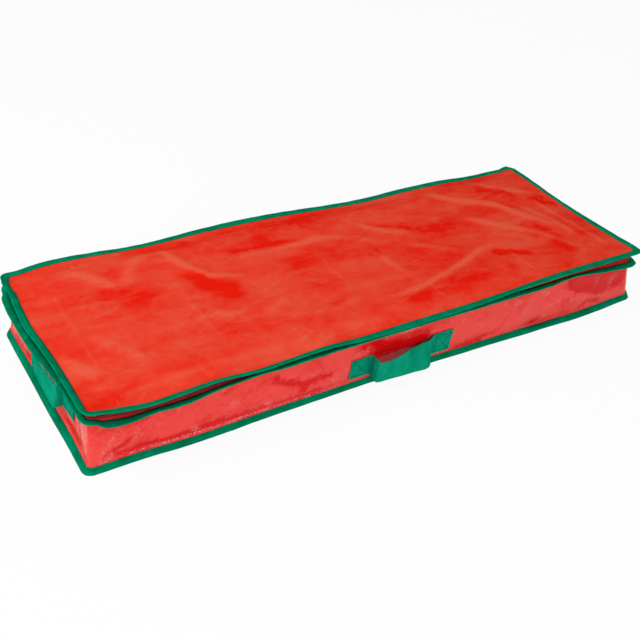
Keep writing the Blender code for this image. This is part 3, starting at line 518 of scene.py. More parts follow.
def press_lines(s):
    """The share of painted highlight, in broken pale dashes, along the lid's packing folds."""
    across = s.node("SeparateXYZ", {0: s.place}).outputs[0]
    wobble = s.range(s.noise(30, 2), 0.3, 0.7, -PRESS_WIDTH, PRESS_WIDTH)
    nearest = None
    for place_x in PRESS_LINES:
        gap = s.calculate("ABSOLUTE", s.calculate("SUBTRACT", s.calculate("ADD", across, wobble),
                                                  place_x))
        nearest = gap if nearest is None else s.calculate("MINIMUM", nearest, gap)
    broken = s.range(s.noise(190, 2), 0.48, 0.6)
    return s.calculate("MULTIPLY", s.range(nearest, PRESS_WIDTH * 0.4, PRESS_WIDTH, 1.0, 0.0), broken)


def lid_fabric():
    """Non-woven red fabric: matt fibres, a fine embossed grid and soft creases, with painted sheen on
    its folds and painted shade on its flats.
    """
    s = Shader("lid_fabric", 0.5, specular_ior_level=0.0)
    fine = s.noise(55, 5, distortion=1.0)
    # Sharp creases that run aslant, each where a stretched noise passes its middle; they bump the
    # surface and are painted paler as a highlight
    slant = s.node("Mapping", {0: s.place, 2: (0, 0, CREASE_SLANT), 3: CREASE_STRETCH}).outputs[0]
    passing = s.calculate("ABSOLUTE", s.calculate("SUBTRACT", s.noise(17, 4, slant, 0.7), 0.5))
    crease = s.calculate("MULTIPLY", s.range(passing, 0.0, 0.035, 1.0, 0.0),
                         s.range(s.noise(9, 2), 0.42, 0.62))
    unrest = s.calculate("ADD", s.range(fine, 0.25, 0.75, -0.26, 0.26),
                         s.range(s.noise(22, 5, slant, 0.8), 0.3, 0.7, -0.3, 0.3))
    sheen_and_shade = s.calculate("ADD", s.attribute("shade"), unrest)
    sheen_and_shade = s.calculate("ADD", sheen_and_shade, s.calculate("MULTIPLY", crease, 0.45))
    fibre = s.noise(900, 2)
    # Painted sheen on the folds and creases, painted shade on the flats between them
    colour = s.blend(s.range(sheen_and_shade, -0.2, 1.4), LID_SHADED_RED, LID_SHEEN_RED)
    colour = s.blend(s.range(fibre, 0.3, 0.8, 0.0, 0.16), colour, LID_FIBRE)
    # Painted highlight along the packing folds
    colour = s.blend(s.calculate("MULTIPLY", press_lines(s), 0.5), colour, LID_SHEEN_RED)
    s.colour(colour)
    s.roughness(s.range(sheen_and_shade, 0.0, 1.0, 0.42, 0.58))
    grid = s.calculate("MULTIPLY", s.ribs(1.6 * MM, "X"), s.ribs(1.6 * MM, "Y"))
    under = s.bump(fine, 1.2 * MM, 0.5)
    under = s.bump(crease, 1.0 * MM, 0.5, under)
    under = s.bump(grid, 0.08 * MM, 0.5, under)
    s.bump(fibre, 0.12 * MM, 0.6, under)
    return s.material


# The film's red in painted shade, and with a painted reflection
FILM_SHADED_RED, FILM_REFLECTION_RED = (0.74, 0.004, 0.005, 1), (0.90, 0.066, 0.054, 1)
# White of the film's painted glints
FILM_GLINT = (0.94, 0.62, 0.60, 1)


def wall_film():
    """Glossy red film over fabric, with fine crinkles that catch the light, and painted reflection,
    shade and glints in its colour.
    """
    s = Shader("wall_film", 0.2, specular_ior_level=0.05, coat_weight=0.12, coat_roughness=0.06)
    crinkle = s.noise(70, 5, distortion=1.8)
    shade_and_reflection = s.calculate("ADD", s.attribute("shade"), s.range(crinkle, 0.25, 0.75, -0.35, 0.35))
    tone = s.range(shade_and_reflection, 0.0, 0.75)
    # Painted shade where the film is deep red, and a painted reflection where it is pale
    colour = s.blend(tone, FILM_SHADED_RED, FILM_REFLECTION_RED)
    # Painted highlights: white glints along the film's sharpest crinkles and in scattered specks
    spots = s.range(s.noise(420, 3, distortion=1.0), 0.52, 0.60)
    where = s.calculate("MAXIMUM", s.attribute("wear_and_glint"), s.range(s.noise(34, 2), 0.60, 0.68, 0.0, 0.35))
    glints = s.calculate("MULTIPLY", spots, where)
    s.colour(s.blend(s.calculate("MULTIPLY", glints, 0.75), colour, FILM_GLINT))
    s.roughness(s.range(shade_and_reflection, 0.0, 1.0, 0.08, 0.30))
    ridges = s.node("TexVoronoi", {"Vector": s.place, "Scale": 34.0}, feature="DISTANCE_TO_EDGE")
    under = s.bump(crinkle, 1.6 * MM, 0.35)
    s.bump(s.range(ridges.outputs["Distance"], 0.0, 0.25), 0.5 * MM, 0.25, under)
    return s.material


def woven_tape(name, dark, light, pitch, roughness, stitches=None):
    """Woven tape or webbing: ribs across it, finer threads along it, and a rubbed, uneven tint.

    Stitches is a function that returns the share of thread from the shader and its cloth axes.
    """
    s = Shader(name, roughness, specular_ior_level=0.0)
    across, threads = s.ribs(pitch, "X"), s.ribs(pitch * 0.6, "Y")
    weave = s.calculate("MULTIPLY", across, threads)
    tint = s.range(s.noise(45, 3), 0.3, 0.7)
    colour = s.blend(tint, dark, light)
    shadow = tuple(c * 0.45 for c in dark[:3]) + (1,)
    colour = s.blend(s.range(weave, 0.0, 1.0, 0.14, 0.0), colour, shadow)
    under = s.bump(s.noise(160, 3), 0.5 * MM, 0.5)
    if stitches:
        axes = s.node("SeparateXYZ", {0: s.cloth}).outputs
        thread = stitches(s, axes[0], axes[1])
        colour = s.blend(s.calculate("MULTIPLY", thread, 0.6), colour, shadow)
        under = s.bump(s.range(thread, 0.0, 1.0, 1.0, 0.0), 0.5 * MM, 0.8, under)
    s.colour(colour)
    s.bump(weave, 0.25 * MM, 0.7, under)
    return s.material


def seam_stitches(s, along, across):
    """A row of stitches beside each free edge of a folded binding."""
    far_edge = 2 * (FLANGE_REACH - BINDING_SETBACK) + math.pi * TURN_RADIUS
    near = s.calculate("MINIMUM", across, s.calculate("SUBTRACT", far_edge, across))
    gap = s.calculate("ABSOLUTE", s.calculate("SUBTRACT", near, STITCH_INSET))
    line = s.range(gap, THREAD / 2, THREAD, 1.0, 0.0)
    place = s.calculate("FRACT", s.calculate("DIVIDE", along, STITCH_PITCH))
    return s.calculate("MULTIPLY", line, s.calculate("LESS_THAN", place, 0.7))


def box_stitches(s, along, across):
    """A sewn square with its two diagonals, on a handle's end."""
    def near(value):
        return s.range(s.calculate("ABSOLUTE", value), THREAD * 0.6, THREAD * 1.2, 1.0, 0.0)

    lines = s.calculate("MAXIMUM", near(s.calculate("SUBTRACT", along, across)),
                        near(s.calculate("SUBTRACT", s.calculate("ADD", along, across),
                                         WEBBING_WIDTH)))
    inside = None
    for axis in (along, across):
        edge = s.calculate("MINIMUM", axis, s.calculate("SUBTRACT", WEBBING_WIDTH, axis))
        edge = s.calculate("SUBTRACT", edge, BOX_INSET)
        inside = edge if inside is None else s.calculate("MINIMUM", inside, edge)
    lines = s.calculate("MULTIPLY", lines, s.calculate("GREATER_THAN", inside, 0.0))
    return s.calculate("MAXIMUM", lines, near(inside))


def coil_plastic():
    """Dark red nylon of the zip's teeth."""
    s = Shader("zip_coil", 0.35, specular_ior_level=0.5)
    tint = s.noise(300, 2)
    s.colour(s.blend(tint, (0.16, 0.006, 0.008, 1), (0.26, 0.012, 0.014, 1)))
    s.bump(s.noise(1500, 1), 0.1 * MM, 0.3)
    return s.material


def slider_paint():
    """Dark red lacquer over cast metal, rubbed paler in specks."""
    s = Shader("slider_metal", 0.28, metallic=0.35, coat_weight=0.4, coat_roughness=0.1)
    wear_and_glint = s.range(s.noise(700, 4), 0.62, 0.72)
    s.colour(s.blend(wear_and_glint, (0.33, 0.012, 0.014, 1), (0.42, 0.30, 0.28, 1)))
    s.bump(s.noise(900, 3), 0.08 * MM, 0.4)
    return s.material


BINDING_GREENS = (0.0, 0.20, 0.090, 1), (0.0, 0.32, 0.155, 1)
WEBBING_GREENS = (0.002, 0.28, 0.155, 1), (0.006, 0.40, 0.240, 1)
TAPE_REDS = (0.58, 0.008, 0.010, 1), (0.80, 0.030, 0.030, 1)
MATERIALS = {
    "lid_fabric": lid_fabric(),
    "wall_film": wall_film(),
    "binding_tape": woven_tape("binding_tape", *BINDING_GREENS, 1.1 * MM, 0.75, seam_stitches),
    "webbing": woven_tape("webbing", *WEBBING_GREENS, 1.5 * MM, 0.7),
    "webbing_end": woven_tape("webbing_end", *WEBBING_GREENS, 1.5 * MM, 0.7, box_stitches),
    "zip_tape": woven_tape("zip_tape", *TAPE_REDS, 0.9 * MM, 0.7),
    "zip_coil": coil_plastic(),
    "slider_metal": slider_paint(),
}


def place(thing, body, slot, *nodes):
    """Let a piece ride on its body and stand for its CAD nodes; slot is not used."""
    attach(thing, body)
    if nodes:
        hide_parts(*nodes)
    return thing


# Small unevenness of the flanges, as tape puckers along a sewn edge
PUCKER = 0.5 * MM


def binding(name, flange, seed, low_setback=BINDING_SETBACK, high_setback=BINDING_SETBACK):
    """A folded tape round a flange's free edge, as a puckered strip with two legs."""
    lines = [flange.at(low_setback, -TURN_RADIUS), flange.at(FLANGE_REACH * 0.5, -TURN_RADIUS)]
    for degrees in (-90, -45, 0, 45, 90):
        angle = math.radians(degrees)
        lines.append(flange.at(FLANGE_REACH + TURN_RADIUS * math.cos(angle),
                               TURN_RADIUS * math.sin(angle)))
    lines += [flange.at(FLANGE_REACH * 0.5, TURN_RADIUS), flange.at(high_setback, TURN_RADIUS)]
    rows = np.array(lines)
    cos, sin = np.cos(flange.tilts), np.sin(flange.tilts)
    level = np.stack([ring.normals[:, 0] * -sin, ring.normals[:, 1] * -sin, cos], axis=1)
    pucker = field(rows, 22 * MM, seed, 2) * PUCKER
    shares = np.array([0.15, 0.4, 1, 1, 1, 1, 1, 0.4, 0.15])[:, None]
    rows += level[None] * (pucker * shares)[..., None]
    return thicken(loft(name, rows, MATERIALS["binding_tape"]))


def zip_side_setback(tilts):
    """How far from the seam the leg beside the zip starts."""
    stand = ZIP_STAND + SHEET + 0.3 * MM
    return np.maximum(BINDING_SETBACK, (stand + TURN_RADIUS * np.sin(tilts)) / np.cos(tilts))


bottom_binding = binding("bottom_binding_tape", base, 1)
rim_binding = binding("rim_binding_tape", rim, 2, high_setback=zip_side_setback(rim.tilts))
top_binding = binding("top_binding_tape", lid, 3, low_setback=zip_side_setback(-lid.tilts))
place(bottom_binding, "bag", "binding_tape", "bottom_binding")
place(rim_binding, "bag", "binding_tape", "rim_binding")
place(top_binding, "lid", "binding_tape", "top_binding")

# How far all of the lid's folds stand up, as a multiple of the heights in their table
FOLD_RISE = 1.5
# The lid's folds: half width, height and the points (x, y) that each one follows, in millimetres
LID_FOLDS = (
    (6, 1.5, (-283, 166), (-270, 129), (-253, 83), (-232, 49), (-173, 23)),
    (11, 1.1, (-447, 156), (-407, 119), (-367, 66)),
    (11, 0.9, (-290, 156), (-330, 129), (-367, 66)),
    (7, 0.9, (-187, 83), (-93, 76), (-13, 83), (67, 56)),
    (9, 1.7, (253, 159), (307, 103), (367, 63), (407, -11), (433, -64)),
    (6, 1.2, (380, 156), (413, 116), (453, 89), (483, 63)),
    (8, 1.2, (260, 56), (320, 3), (367, -44), (413, -117)),
    (6, 0.9, (413, 49), (433, -24), (440, -104)),
    (3.5, 1.1, (457, 60), (460, -20), (467, -100), (473, -157)),
    (6, 1.3, (-13, -117), (80, -107), (173, -81), (240, -54), (287, -51)),
    (7, -1.1, (240, -71), (280, -84), (320, -104)),
    (5, -0.9, (87, 96), (130, 68), (167, 43)),
    (6, 0.8, (67, 103), (120, 49), (160, 33)),
    (7, 0.8, (120, 9), (160, -22), (200, -44)),
    (6, 0.6, (47, 56), (100, 16)),
    (6, 0.6, (167, 116), (220, 119), (267, 126)),
    (8, 0.7, (-460, -24), (-413, -77), (-407, -117)),
    (8, 0.6, (-273, -31), (-220, -84)),
    (8, 0.6, (-207, -77), (-147, -44)),
    (9, 0.6, (-187, -91), (-93, -104), (-33, -91)),
    (8, 0.8, (-513, -37), (-473, -117)),
    (7, 0.6, (53, -4), (67, -71)),
    (6, 0.6, (-467, -151), (-320, -144), (-200, -151)),
    (6, 0.6, (-120, -144), (-27, -151)),
    (2.5, 0.35, (-470, 109), (-470, -124)),
    (2.5, 0.35, (-290, 60), (-293, -100)),
    (2.5, 0.4, (-40, 69), (-47, -104)),
    (2.5, 0.4, (280, -60), (280, -157)),
)


def follow(table, first, second):
    """The sum of a table's folds at places in metres, each eased off at its two ends."""
    total = np.zeros(first.shape)
    places = np.stack([first, second], axis=-1) / MM
    for width, lift, *points in table:
        points = np.array(points, float)
        lengths = np.linalg.norm(np.diff(points, axis=0), axis=1)
        starts = np.concatenate([[0], np.cumsum(lengths)])
        nearest, along = np.full(first.shape, np.inf), np.zeros(first.shape)
        for start, end, length, before in zip(points, points[1:], lengths, starts):
            share = np.clip(((places - start) @ (end - start)) / length ** 2, 0, 1)
            gap = np.linalg.norm(places - start - share[..., None] * (end - start), axis=-1)
            along = np.where(gap < nearest, (before + share * length) / starts[-1], along)
            nearest = np.minimum(nearest, gap)
        ease = smooth(np.minimum(along, 1 - along) * 4 + 0.05)
        total += lift * ease * np.exp(-(nearest / width) ** 2)
    return total


# How softly the lid's nearest edge gives way to the next at a corner
EDGE_SOFTNESS = 12 * MM
# The lid's unevenness: size and height of its broad waves, its ripples and its edge's pleats
LID_WAVE, LID_WAVE_HEIGHT = 130 * MM, 1.6 * MM
LID_RIPPLE, LID_RIPPLE_HEIGHT = 45 * MM, 0.6 * MM
LID_PLEAT, LID_PLEAT_HEIGHT = 12 * MM, 0.9 * MM


def edge_heights(points):
    """The lid seam's height, carried inward from the four sides by how near each one is."""
    left, right, front, back, _ = TOP_SEAM
    gaps = np.stack([points[..., 1] - front, right - points[..., 0], back - points[..., 1],
                     points[..., 0] - left])
    gaps = np.maximum(gaps, MM / 10)
    heights = np.stack([read_table(LID_HEIGHTS[side], points[..., 0 if side in ("front", "back")
                                                             else 1]) for side in SIDES]) * MM
    weights = 1 / gaps ** 2
    nearest = -np.log(np.exp(-gaps / EDGE_SOFTNESS).sum(axis=0)) * EDGE_SOFTNESS
    return (heights * weights).sum(axis=0) / weights.sum(axis=0), nearest


def lid_height(points):
    """The lid panel's height at plan points: seam, crown, folds and soft unevenness."""
    seam, nearest = edge_heights(points)
    rise = smooth(nearest / CROWN_SLOPE)
    height = seam + (LID_TOP - seam) * rise
    flat = points * np.array([1, 1, 0])
    height = height + field(flat, LID_WAVE, 4) * LID_WAVE_HEIGHT * rise
    drawn = flat * np.array([0.6, 1.6, 0])
    height = height + field(drawn, LID_RIPPLE, 5) * LID_RIPPLE_HEIGHT * rise
    near = smooth(nearest / PLEAT_LENGTH) * np.exp(-nearest / PLEAT_LENGTH)
    height = height + field(flat, LID_PLEAT, 6) * LID_PLEAT_HEIGHT * near
    folds = follow(LID_FOLDS, flat[..., 0], flat[..., 1])
    return height + folds * FOLD_RISE * MM * rise ** 0.5


def coons(edge_points):
    """Fill the inside of a closed line of stations with a grid of points."""
    front, right, back, left = (edge_points[side_span(side)] for side in SIDES)
    back, left = back[::-1], left[::-1]
    u = np.linspace(0, 1, len(front))[:, None, None]
    v = np.linspace(0, 1, len(left))[None, :, None]
    ruled = ((1 - v) * front[:, None] + v * back[:, None]
             + (1 - u) * left[None] + u * right[None])
    corners = ((1 - u) * (1 - v) * front[0] + u * (1 - v) * front[-1]
               + (1 - u) * v * back[0] + u * v * back[-1])
    return ruled - corners


# Painted shade on the flats between the lid's folds, which are painted deeper red: half width,
# strength and points, in mm
LID_FLAT_SHADE = (
    (24, -0.6, (-420, 90), (-370, 45), (-325, 8)),
    (24, -0.8, (-272, 95), (-250, 35), (-190, -5)),
    (5, -0.9, (-197, 103), (-150, 95), (-100, 97), (-33, 86)),
    (14, -0.5, (-330, 150), (-120, 158), (60, 152), (130, 125)),
    (14, -0.6, (-18, -136), (100, -135), (205, -122), (232, -112)),
    (13, -0.55, (40, -118), (150, -108), (228, -84)),
    (10, -0.6, (234, -150), (250, -124), (262, -104)),
    (20, -0.6, (-262, 60), (-238, 10), (-200, -20)),
    (9, -0.5, (-10, -80), (40, -84), (70, -80)),
    (18, -0.4, (180, 44), (250, 36), (290, 16)),
    (12, -0.6, (352, -66), (390, -40), (404, -100)),
    (15, -0.8, (367, 128), (410, 97), (440, 72)),
    (10, -1.2, (450, 62), (478, 34), (497, 12)),
    (15, -0.7, (345, -15), (382, -80), (400, -145)),
    (7, -1.0, (243, -68), (283, -85), (320, -107)),
    (14, -0.5, (130, 66), (190, 30), (260, 24)),
    (16, -0.4, (-120, 40), (-60, 20), (20, 22)),
)


def lid_shade(points):
    """The lid's painted sheen and shade at each point, from 0, deep red in painted shade on the flats,
    to 1, paler with painted sheen on its folds.
    """
    flat = points * np.array([1, 1, 0])
    ragged = field(flat, 14 * MM, 21) * 5 * MM
    broad = field(flat * np.array([0.7, 1.3, 0]), 75 * MM, 22, 3)
    folded = follow(LID_FOLDS, flat[..., 0] + ragged * 0.4, flat[..., 1] + ragged * 0.4)
    return (0.5 + 0.6 * broad + 0.95 * folded
            + follow(LID_FLAT_SHADE, flat[..., 0] + ragged, flat[..., 1] + ragged))


def panel(name, rows, grid, material, shade=None):
    """A sheet made of a filled middle and the rows that run round it into its seam."""
    width, depth = grid.shape[:2]
    points = list(grid.reshape(-1, 3))
    faces = [(i * depth + j, (i + 1) * depth + j, (i + 1) * depth + j + 1, i * depth + j + 1)
             for i in range(width - 1) for j in range(depth - 1)]
    edge = [i * depth for i in range(width - 1)]
    edge += [(width - 1) * depth + j for j in range(depth - 1)]
    edge += [i * depth + depth - 1 for i in range(width - 1, 0, -1)]
    edge += [j for j in range(depth - 1, 0, -1)]
    for row in rows:
        new = list(range(len(points), len(points) + ring.count))
        points += list(row)
        for index in range(ring.count):
            after = (index + 1) % ring.count
            faces.append((edge[index], new[index], new[after], edge[after]))
        edge = new
    uvs = [(point[0], point[1]) for point in points]
    thing = make_object(name, points, faces, material, uvs)
    give_value(thing, "shade", shade(np.array(points)) if shade else np.full(len(points), 0.5))
    weld(thing.data)
    return thicken(thing)


def inset_line(seam, distance, radius):
    """A seam's rectangle drawn in by a distance."""
    left, right, front, back, _ = seam
    return ring.plan((left + distance, right - distance, front + distance, back - distance, radius))


# Edge lines of the lid and the bottom: distances inside their seam, and corner radius
LID_INSETS, LID_RADIUS = (9 * MM, 5 * MM, 2 * MM), 6 * MM
FLOOR_INSETS, FLOOR_RADIUS = (17 * MM, 12 * MM), 9 * MM
FLOOR_FOLD_INSET = 1 * MM
FLOOR_HEIGHT = SHEET / 2 + 0.02 * MM
# How far out along its flange the lid sheet has settled
LID_SETTLE = 3 * MM


def lid_panel():
    """The lid's top sheet, from its flange inward over the crown."""
    lines = []
    for inset in LID_INSETS:
        line = inset_line(TOP_SEAM, inset, LID_RADIUS) + ring.normals * lid.shift[:, None]
        line[:, 2] = lid_height(line)
        lines.append(line)
    rows = lines[1:] + [lid.at(0, LAYER), lid.at(LID_SETTLE, LAYER), lid.at(FLANGE_REACH, LAYER)]
    grid = coons(lines[0])
    grid[..., 2] = lid_height(grid)
    return panel("lid_top_panel", rows, grid, MATERIALS["lid_fabric"], lid_shade)


def floor_panel():
    """The bottom sheet, from its flange over the fold to the floor."""
    lines = []
    shifted = ring.normals * base.shift[:, None]
    for inset in FLOOR_INSETS:
        line = inset_line(BASE_SEAM, inset, FLOOR_RADIUS) + shifted
        line[:, 2] = FLOOR_HEIGHT
        lines.append(line)
    fold = inset_line(BASE_SEAM, FLOOR_FOLD_INSET, FLOOR_RADIUS) + shifted
    fold[:, 2] = base_z
    rows = [lines[1], fold, base.at(SHEET_BEND, -LAYER), base.at(FLANGE_REACH, -LAYER)]
    return panel("bottom_sheet", rows, coons(lines[0]), MATERIALS["wall_film"])


top_panel = place(lid_panel(), "lid", "lid_fabric", "top_panel")
bottom_panel = place(floor_panel(), "bag", "wall_film", "bottom_panel")

# Rows of a wall between its seams
WALL_ROWS = 22
# The walls' creases: half width, height and the points (place, z) along them, in millimetres
WALL_FOLDS = {
    "front": (
        (9, -1.6, (-262, 84), (-240, 68), (-222, 54), (-187, 42), (-120, 47)),
        (7, -1.0, (-187, 44), (-190, 24)),
        (9, 1.5, (300, 88), (345, 62), (400, 40), (460, 24), (512, 14)),
        (12, -1.4, (360, 74), (430, 60), (500, 48)),
        (7, 1.2, (-508, 10), (-478, 34), (-440, 62), (-430, 80)),
        (6, 1.0, (-505, 16), (-490, 44), (-480, 70)),
        (5, -1.2, (-500, 20), (-465, 40), (-445, 50)),
        (8, 1.2, (-400, 20), (-385, 50), (-352, 80)),
        (10, -1.2, (100, 18), (150, 20), (215, 30)),
        (8, 1.2, (236, 20), (244, 50), (262, 86)),
        (6, -1.0, (386, 14), (410, 26), (455, 18)),
    ),
    "left": (
        (7, 1.2, (-166, 20), (-140, 40), (-128, 70)),
        (6, -1.0, (-150, 24), (-110, 20)),
        (7, 1.2, (112, 74), (124, 50), (118, 24)),
        (7, 1.0, (80, 78), (70, 50)),
    ),
    "right": ((9, -1.2, (-130, 30), (-60, 48), (20, 36)), (9, 1.2, (60, 20), (110, 60))),
    "back": ((9, -1.3, (-420, 70), (-330, 40), (-260, 30)), (9, 1.3, (-60, 20), (30, 60)),
             (10, -1.3, (250, 70), (360, 40))),
}
# Where the film is painted paler with a reflection (above 0), and painted deeper red with shade and
# shadow (below 0):
# half width, strength and the points (place, z), in millimetres
WALL_SHADES = {
    "front": (
        (13, -1.5, (-72, 60), (-30, 64), (20, 62), (48, 66)),
        (9, -0.7, (-110, 76), (-40, 78)),
        (6, -1.1, (-262, 84), (-240, 68), (-222, 54), (-187, 42), (-120, 47)),
        (5, -1.0, (-187, 44), (-190, 24)),
        (5, -1.2, (-520, 20), (-440, 21), (-340, 22), (-230, 19), (-150, 18), (-90, 17)),
        (24, -1.6, (350, 78), (420, 66), (520, 54)),
        (13, -1.2, (330, 84), (372, 70), (420, 52), (470, 40)),
        (8, 0.5, (300, 88), (345, 58), (400, 38), (460, 22), (512, 14)),
        (6, -0.9, (70, 15), (140, 17), (215, 28)),
        (7, -0.9, (262, 12), (290, 20), (300, 10)),
        (5, -1.1, (386, 14), (410, 26), (455, 18)),
        (4, -0.9, (-500, 20), (-465, 40), (-445, 50)),
        (5, -0.6, (-472, 68), (-420, 76)),
        (4, -0.6, (-330, 72), (-300, 74)),
    ),
    "left": ((7, -1.0, (-150, 24), (-110, 20), (-60, 22)), (9, -0.8, (60, 22), (140, 26))),
    "right": ((12, -1.0, (-130, 30), (-60, 48), (20, 36)),),
    "back": ((12, -1.0, (-420, 70), (-330, 40), (-260, 30)), (14, -1.0, (250, 70), (360, 40))),
}


# Painted highlights, white glints where the film catches the light: half width, strength and the
# points (place, z), in millimetres
WALL_GLINTS = {
    "front": (
        (2.2, 0.9, (-520, 17), (-440, 16), (-340, 16), (-230, 15), (-150, 14), (-90, 13)),
        (3, 0.7, (-30, 84), (-5, 82), (22, 84)),
        (2.5, 0.6, (-505, 22), (-488, 44), (-478, 62)),
        (2.5, 0.5, (470, 62), (462, 44), (456, 32)),
    ),
    "left": ((3, 0.8, (-160, 24), (-146, 46), (-136, 66)), (2.5, 0.7, (-150, 60), (-120, 50))),
    "right": (),
    "back": (),
}


def along_walls(points):
    """The place along its wall of each station, in metres: X on the long sides, Y on the ends."""
    long_sides = (ring.sides == "front") | (ring.sides == "back")
    return np.where(long_sides, points[:, 0], points[:, 1])


def read_folds(tables, points):
    """Every side's folds at one line of stations."""
    places, total = along_walls(points), np.zeros(ring.count)
    for side, table in tables.items():
        here = ring.sides == side
        total[here] = follow(table, places[here], points[here, 2])
    return total * (ring.turns == 0)


# The film's unevenness: size and height of its broad waves and of its crinkles
WALL_WAVE, WALL_WAVE_HEIGHT = 70 * MM, 1.4 * MM
WALL_CRINKLE, WALL_CRINKLE_HEIGHT = 24 * MM, 0.7 * MM


def wall_at(share):
    """Points of the walls at a share of their height, moved out by their bulge and creases."""
    bulges = np.array([WALL_BULGES[side] for side in ring.sides]) * (ring.turns == 0)
    foot = base.plan + (rim.plan - base.plan) * share
    foot[:, 2] = base_z + (rim_z - base_z) * share
    level = math.sin(math.pi * share)
    waves = field(foot * np.array([1, 1, 1.6]), WALL_WAVE, 11) * WALL_WAVE_HEIGHT
    waves = (waves + field(foot, WALL_CRINKLE, 12) * WALL_CRINKLE_HEIGHT
             + read_folds(WALL_FOLDS, foot) * MM)
    out = bulges * (1 - ring.alongs ** 4) * level + waves * max(level, 0) ** 0.5
    return foot + ring.normals * out[:, None]


def film_shade(points):
    """The film's painted shade and reflection along a line of stations, from 0, deep red in painted
    shade, to 1, pale with a painted reflection.
    """
    bent = points + np.stack([field(points, 9 * MM, 14), field(points, 9 * MM, 15),
                              field(points, 9 * MM, 16)], axis=1) * 5 * MM
    return 0.72 + field(points * np.array([1, 1, 1.5]), 60 * MM, 13) * 0.45 + read_folds(
        WALL_SHADES, bent)


def wall_lines():
    """All the lines of the walls, from the base flange's edge to the rim flange's edge."""
    lines = [base.at(FLANGE_REACH, LAYER), base.at(FLANGE_REACH / 2, LAYER),
             base.at(SHEET_BEND, LAYER)]
    for row in range(WALL_ROWS + 1):
        line = wall_at(row / WALL_ROWS)
        line[:, 2] += SEAM_REACH if row == 0 else -SEAM_REACH if row == WALL_ROWS else 0
        lines.append(line)
    lines += [rim.at(SHEET_BEND, -LAYER), rim.at(FLANGE_REACH / 2, -LAYER),
              rim.at(FLANGE_REACH, -LAYER)]
    return lines


wall_grid = wall_lines()
wall_shades = np.array([film_shade(line) for line in wall_grid])
wall_glints = np.array([read_folds(WALL_GLINTS, line) for line in wall_grid])
for side in SIDES:
    piece = loft(side + "_wall_film", wall_grid, MATERIALS["wall_film"], side_span(side))
    # The walls' painted shade and reflection
    give_value(piece, "shade", wall_shades[:, side_span(side)])
    # The walls' painted glints
    give_value(piece, "wear_and_glint", wall_glints[:, side_span(side)])
    place(thicken(piece), "bag", "wall_film", side + "_wall")


def zip_ends():
    """The stations where the zip's tapes end on the back, and where its end stretches start."""
    right_end = nearest_station("back", TOP_SEAM[1] - ZIP_CORNER_LAP)
    left_end = nearest_station("back", TOP_SEAM[0] + ZIP_CORNER_LAP)
    stretch = TOP_SEAM[3] - ZIP_END_LENGTH
    return right_end, left_end, nearest_station("right", stretch), nearest_station("left", stretch)


right_end, left_end, right_start, left_start = zip_ends()
lower_tape = [rim.at(FLANGE_REACH, LAYER), rim.at(FLANGE_REACH / 2, LAYER),
              rim.at(SHEET_BEND, LAYER), beside(rim.plan, zip_out, rim_z + SEAM_REACH),
              beside(zip_plan, zip_out, zip_z - COIL_GAP / 2)]
cos_lid, sin_lid = np.cos(lid.tilts), np.sin(lid.tilts)
bend_out = SHEET_BEND * cos_lid + LAYER * sin_lid
bend_up = SHEET_BEND * sin_lid - LAYER * cos_lid
reach = np.maximum(SEAM_REACH, (bend_out - zip_out) * sin_lid / cos_lid - bend_up)
upper_tape = [beside(zip_plan, zip_out, zip_z + COIL_GAP / 2),
              beside(lid.plan, zip_out, lid_z - reach), lid.at(SHEET_BEND, -LAYER),
              lid.at(FLANGE_REACH / 2, -LAYER), lid.at(FLANGE_REACH, -LAYER)]


def coil_lines(sign):
    """The ring of lines round one row of teeth."""
    middle_out = zip_out + SHEET / 2 + COIL_STAND + COIL_RADIUS
    middle_up = zip_z + sign * (COIL_GAP / 2 + COIL_RADIUS)
    lines = []
    for step in range(COIL_SIDES):
        angle = 2 * math.pi * step / COIL_SIDES
        lines.append(beside(zip_plan, middle_out + COIL_RADIUS * math.cos(angle),
                            middle_up + COIL_RADIUS * math.sin(angle)))
    return np.array(lines)


def coil(name, sign, stations):
    """A row of teeth: a bead that swells and narrows at the coil's pitch."""
    lines = coil_lines(sign)[:, stations]
    runs = travel(lines.mean(axis=0))
    count = int(runs[-1] / (COIL_PITCH / 2)) // 2 * 2
    places = np.linspace(0, runs[-1], count)
    fine = np.stack([np.stack([np.interp(places, runs, line[:, k]) for k in range(3)], axis=1)
                     for line in lines])
    middle = fine.mean(axis=0)
    swell = np.where(np.arange(count) % 2, 1.0, COIL_NARROW)
    fine = middle + (fine - middle) * swell[:, None]
    faces = skin(COIL_SIDES, count, closed=True)
    faces += [[a * count for a in range(COIL_SIDES)][::-1],
              [a * count + count - 1 for a in range(COIL_SIDES)]]
    runs = travel(fine[0])
    uvs = [(u, a * MM) for a in range(COIL_SIDES) for u in runs]
    thing = make_object(name, fine.reshape(-1, 3), faces, MATERIALS["zip_coil"], uvs)
    weld(thing.data)
    return thing


zip_round = span(left_end, right_end)
upper_round = span(left_start, right_start)
tape_low = place(thicken(loft("zip_tape_low", lower_tape, MATERIALS["zip_tape"], zip_round)),
                 "bag", "zip_tape", "zip_tape_lower")
tape_high = place(thicken(loft("zip_tape_high", upper_tape, MATERIALS["zip_tape"], upper_round)),
                  "lid", "zip_tape", "zip_tape_upper")
place(coil("zip_teeth_low", -1, zip_round), "bag", "zip_coil", "zip_coil_lower")
place(coil("zip_teeth_high", 1, upper_round), "lid", "zip_coil", "zip_coil_upper")

for side, stations, end_x in (("left", span(left_end, left_start), TOP_SEAM[0]),
                              ("right", span(right_start, right_end), TOP_SEAM[1])):
    tape = thicken(loft(f"zip_{side}_end_tape", upper_tape, MATERIALS["zip_tape"], stations))
    teeth = coil(f"zip_{side}_end_teeth", 1, stations)
    for piece, slot in ((tape, "zip_tape"), (teeth, "zip_coil")):
        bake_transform(piece)
    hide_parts(f"zip_end_{side}")

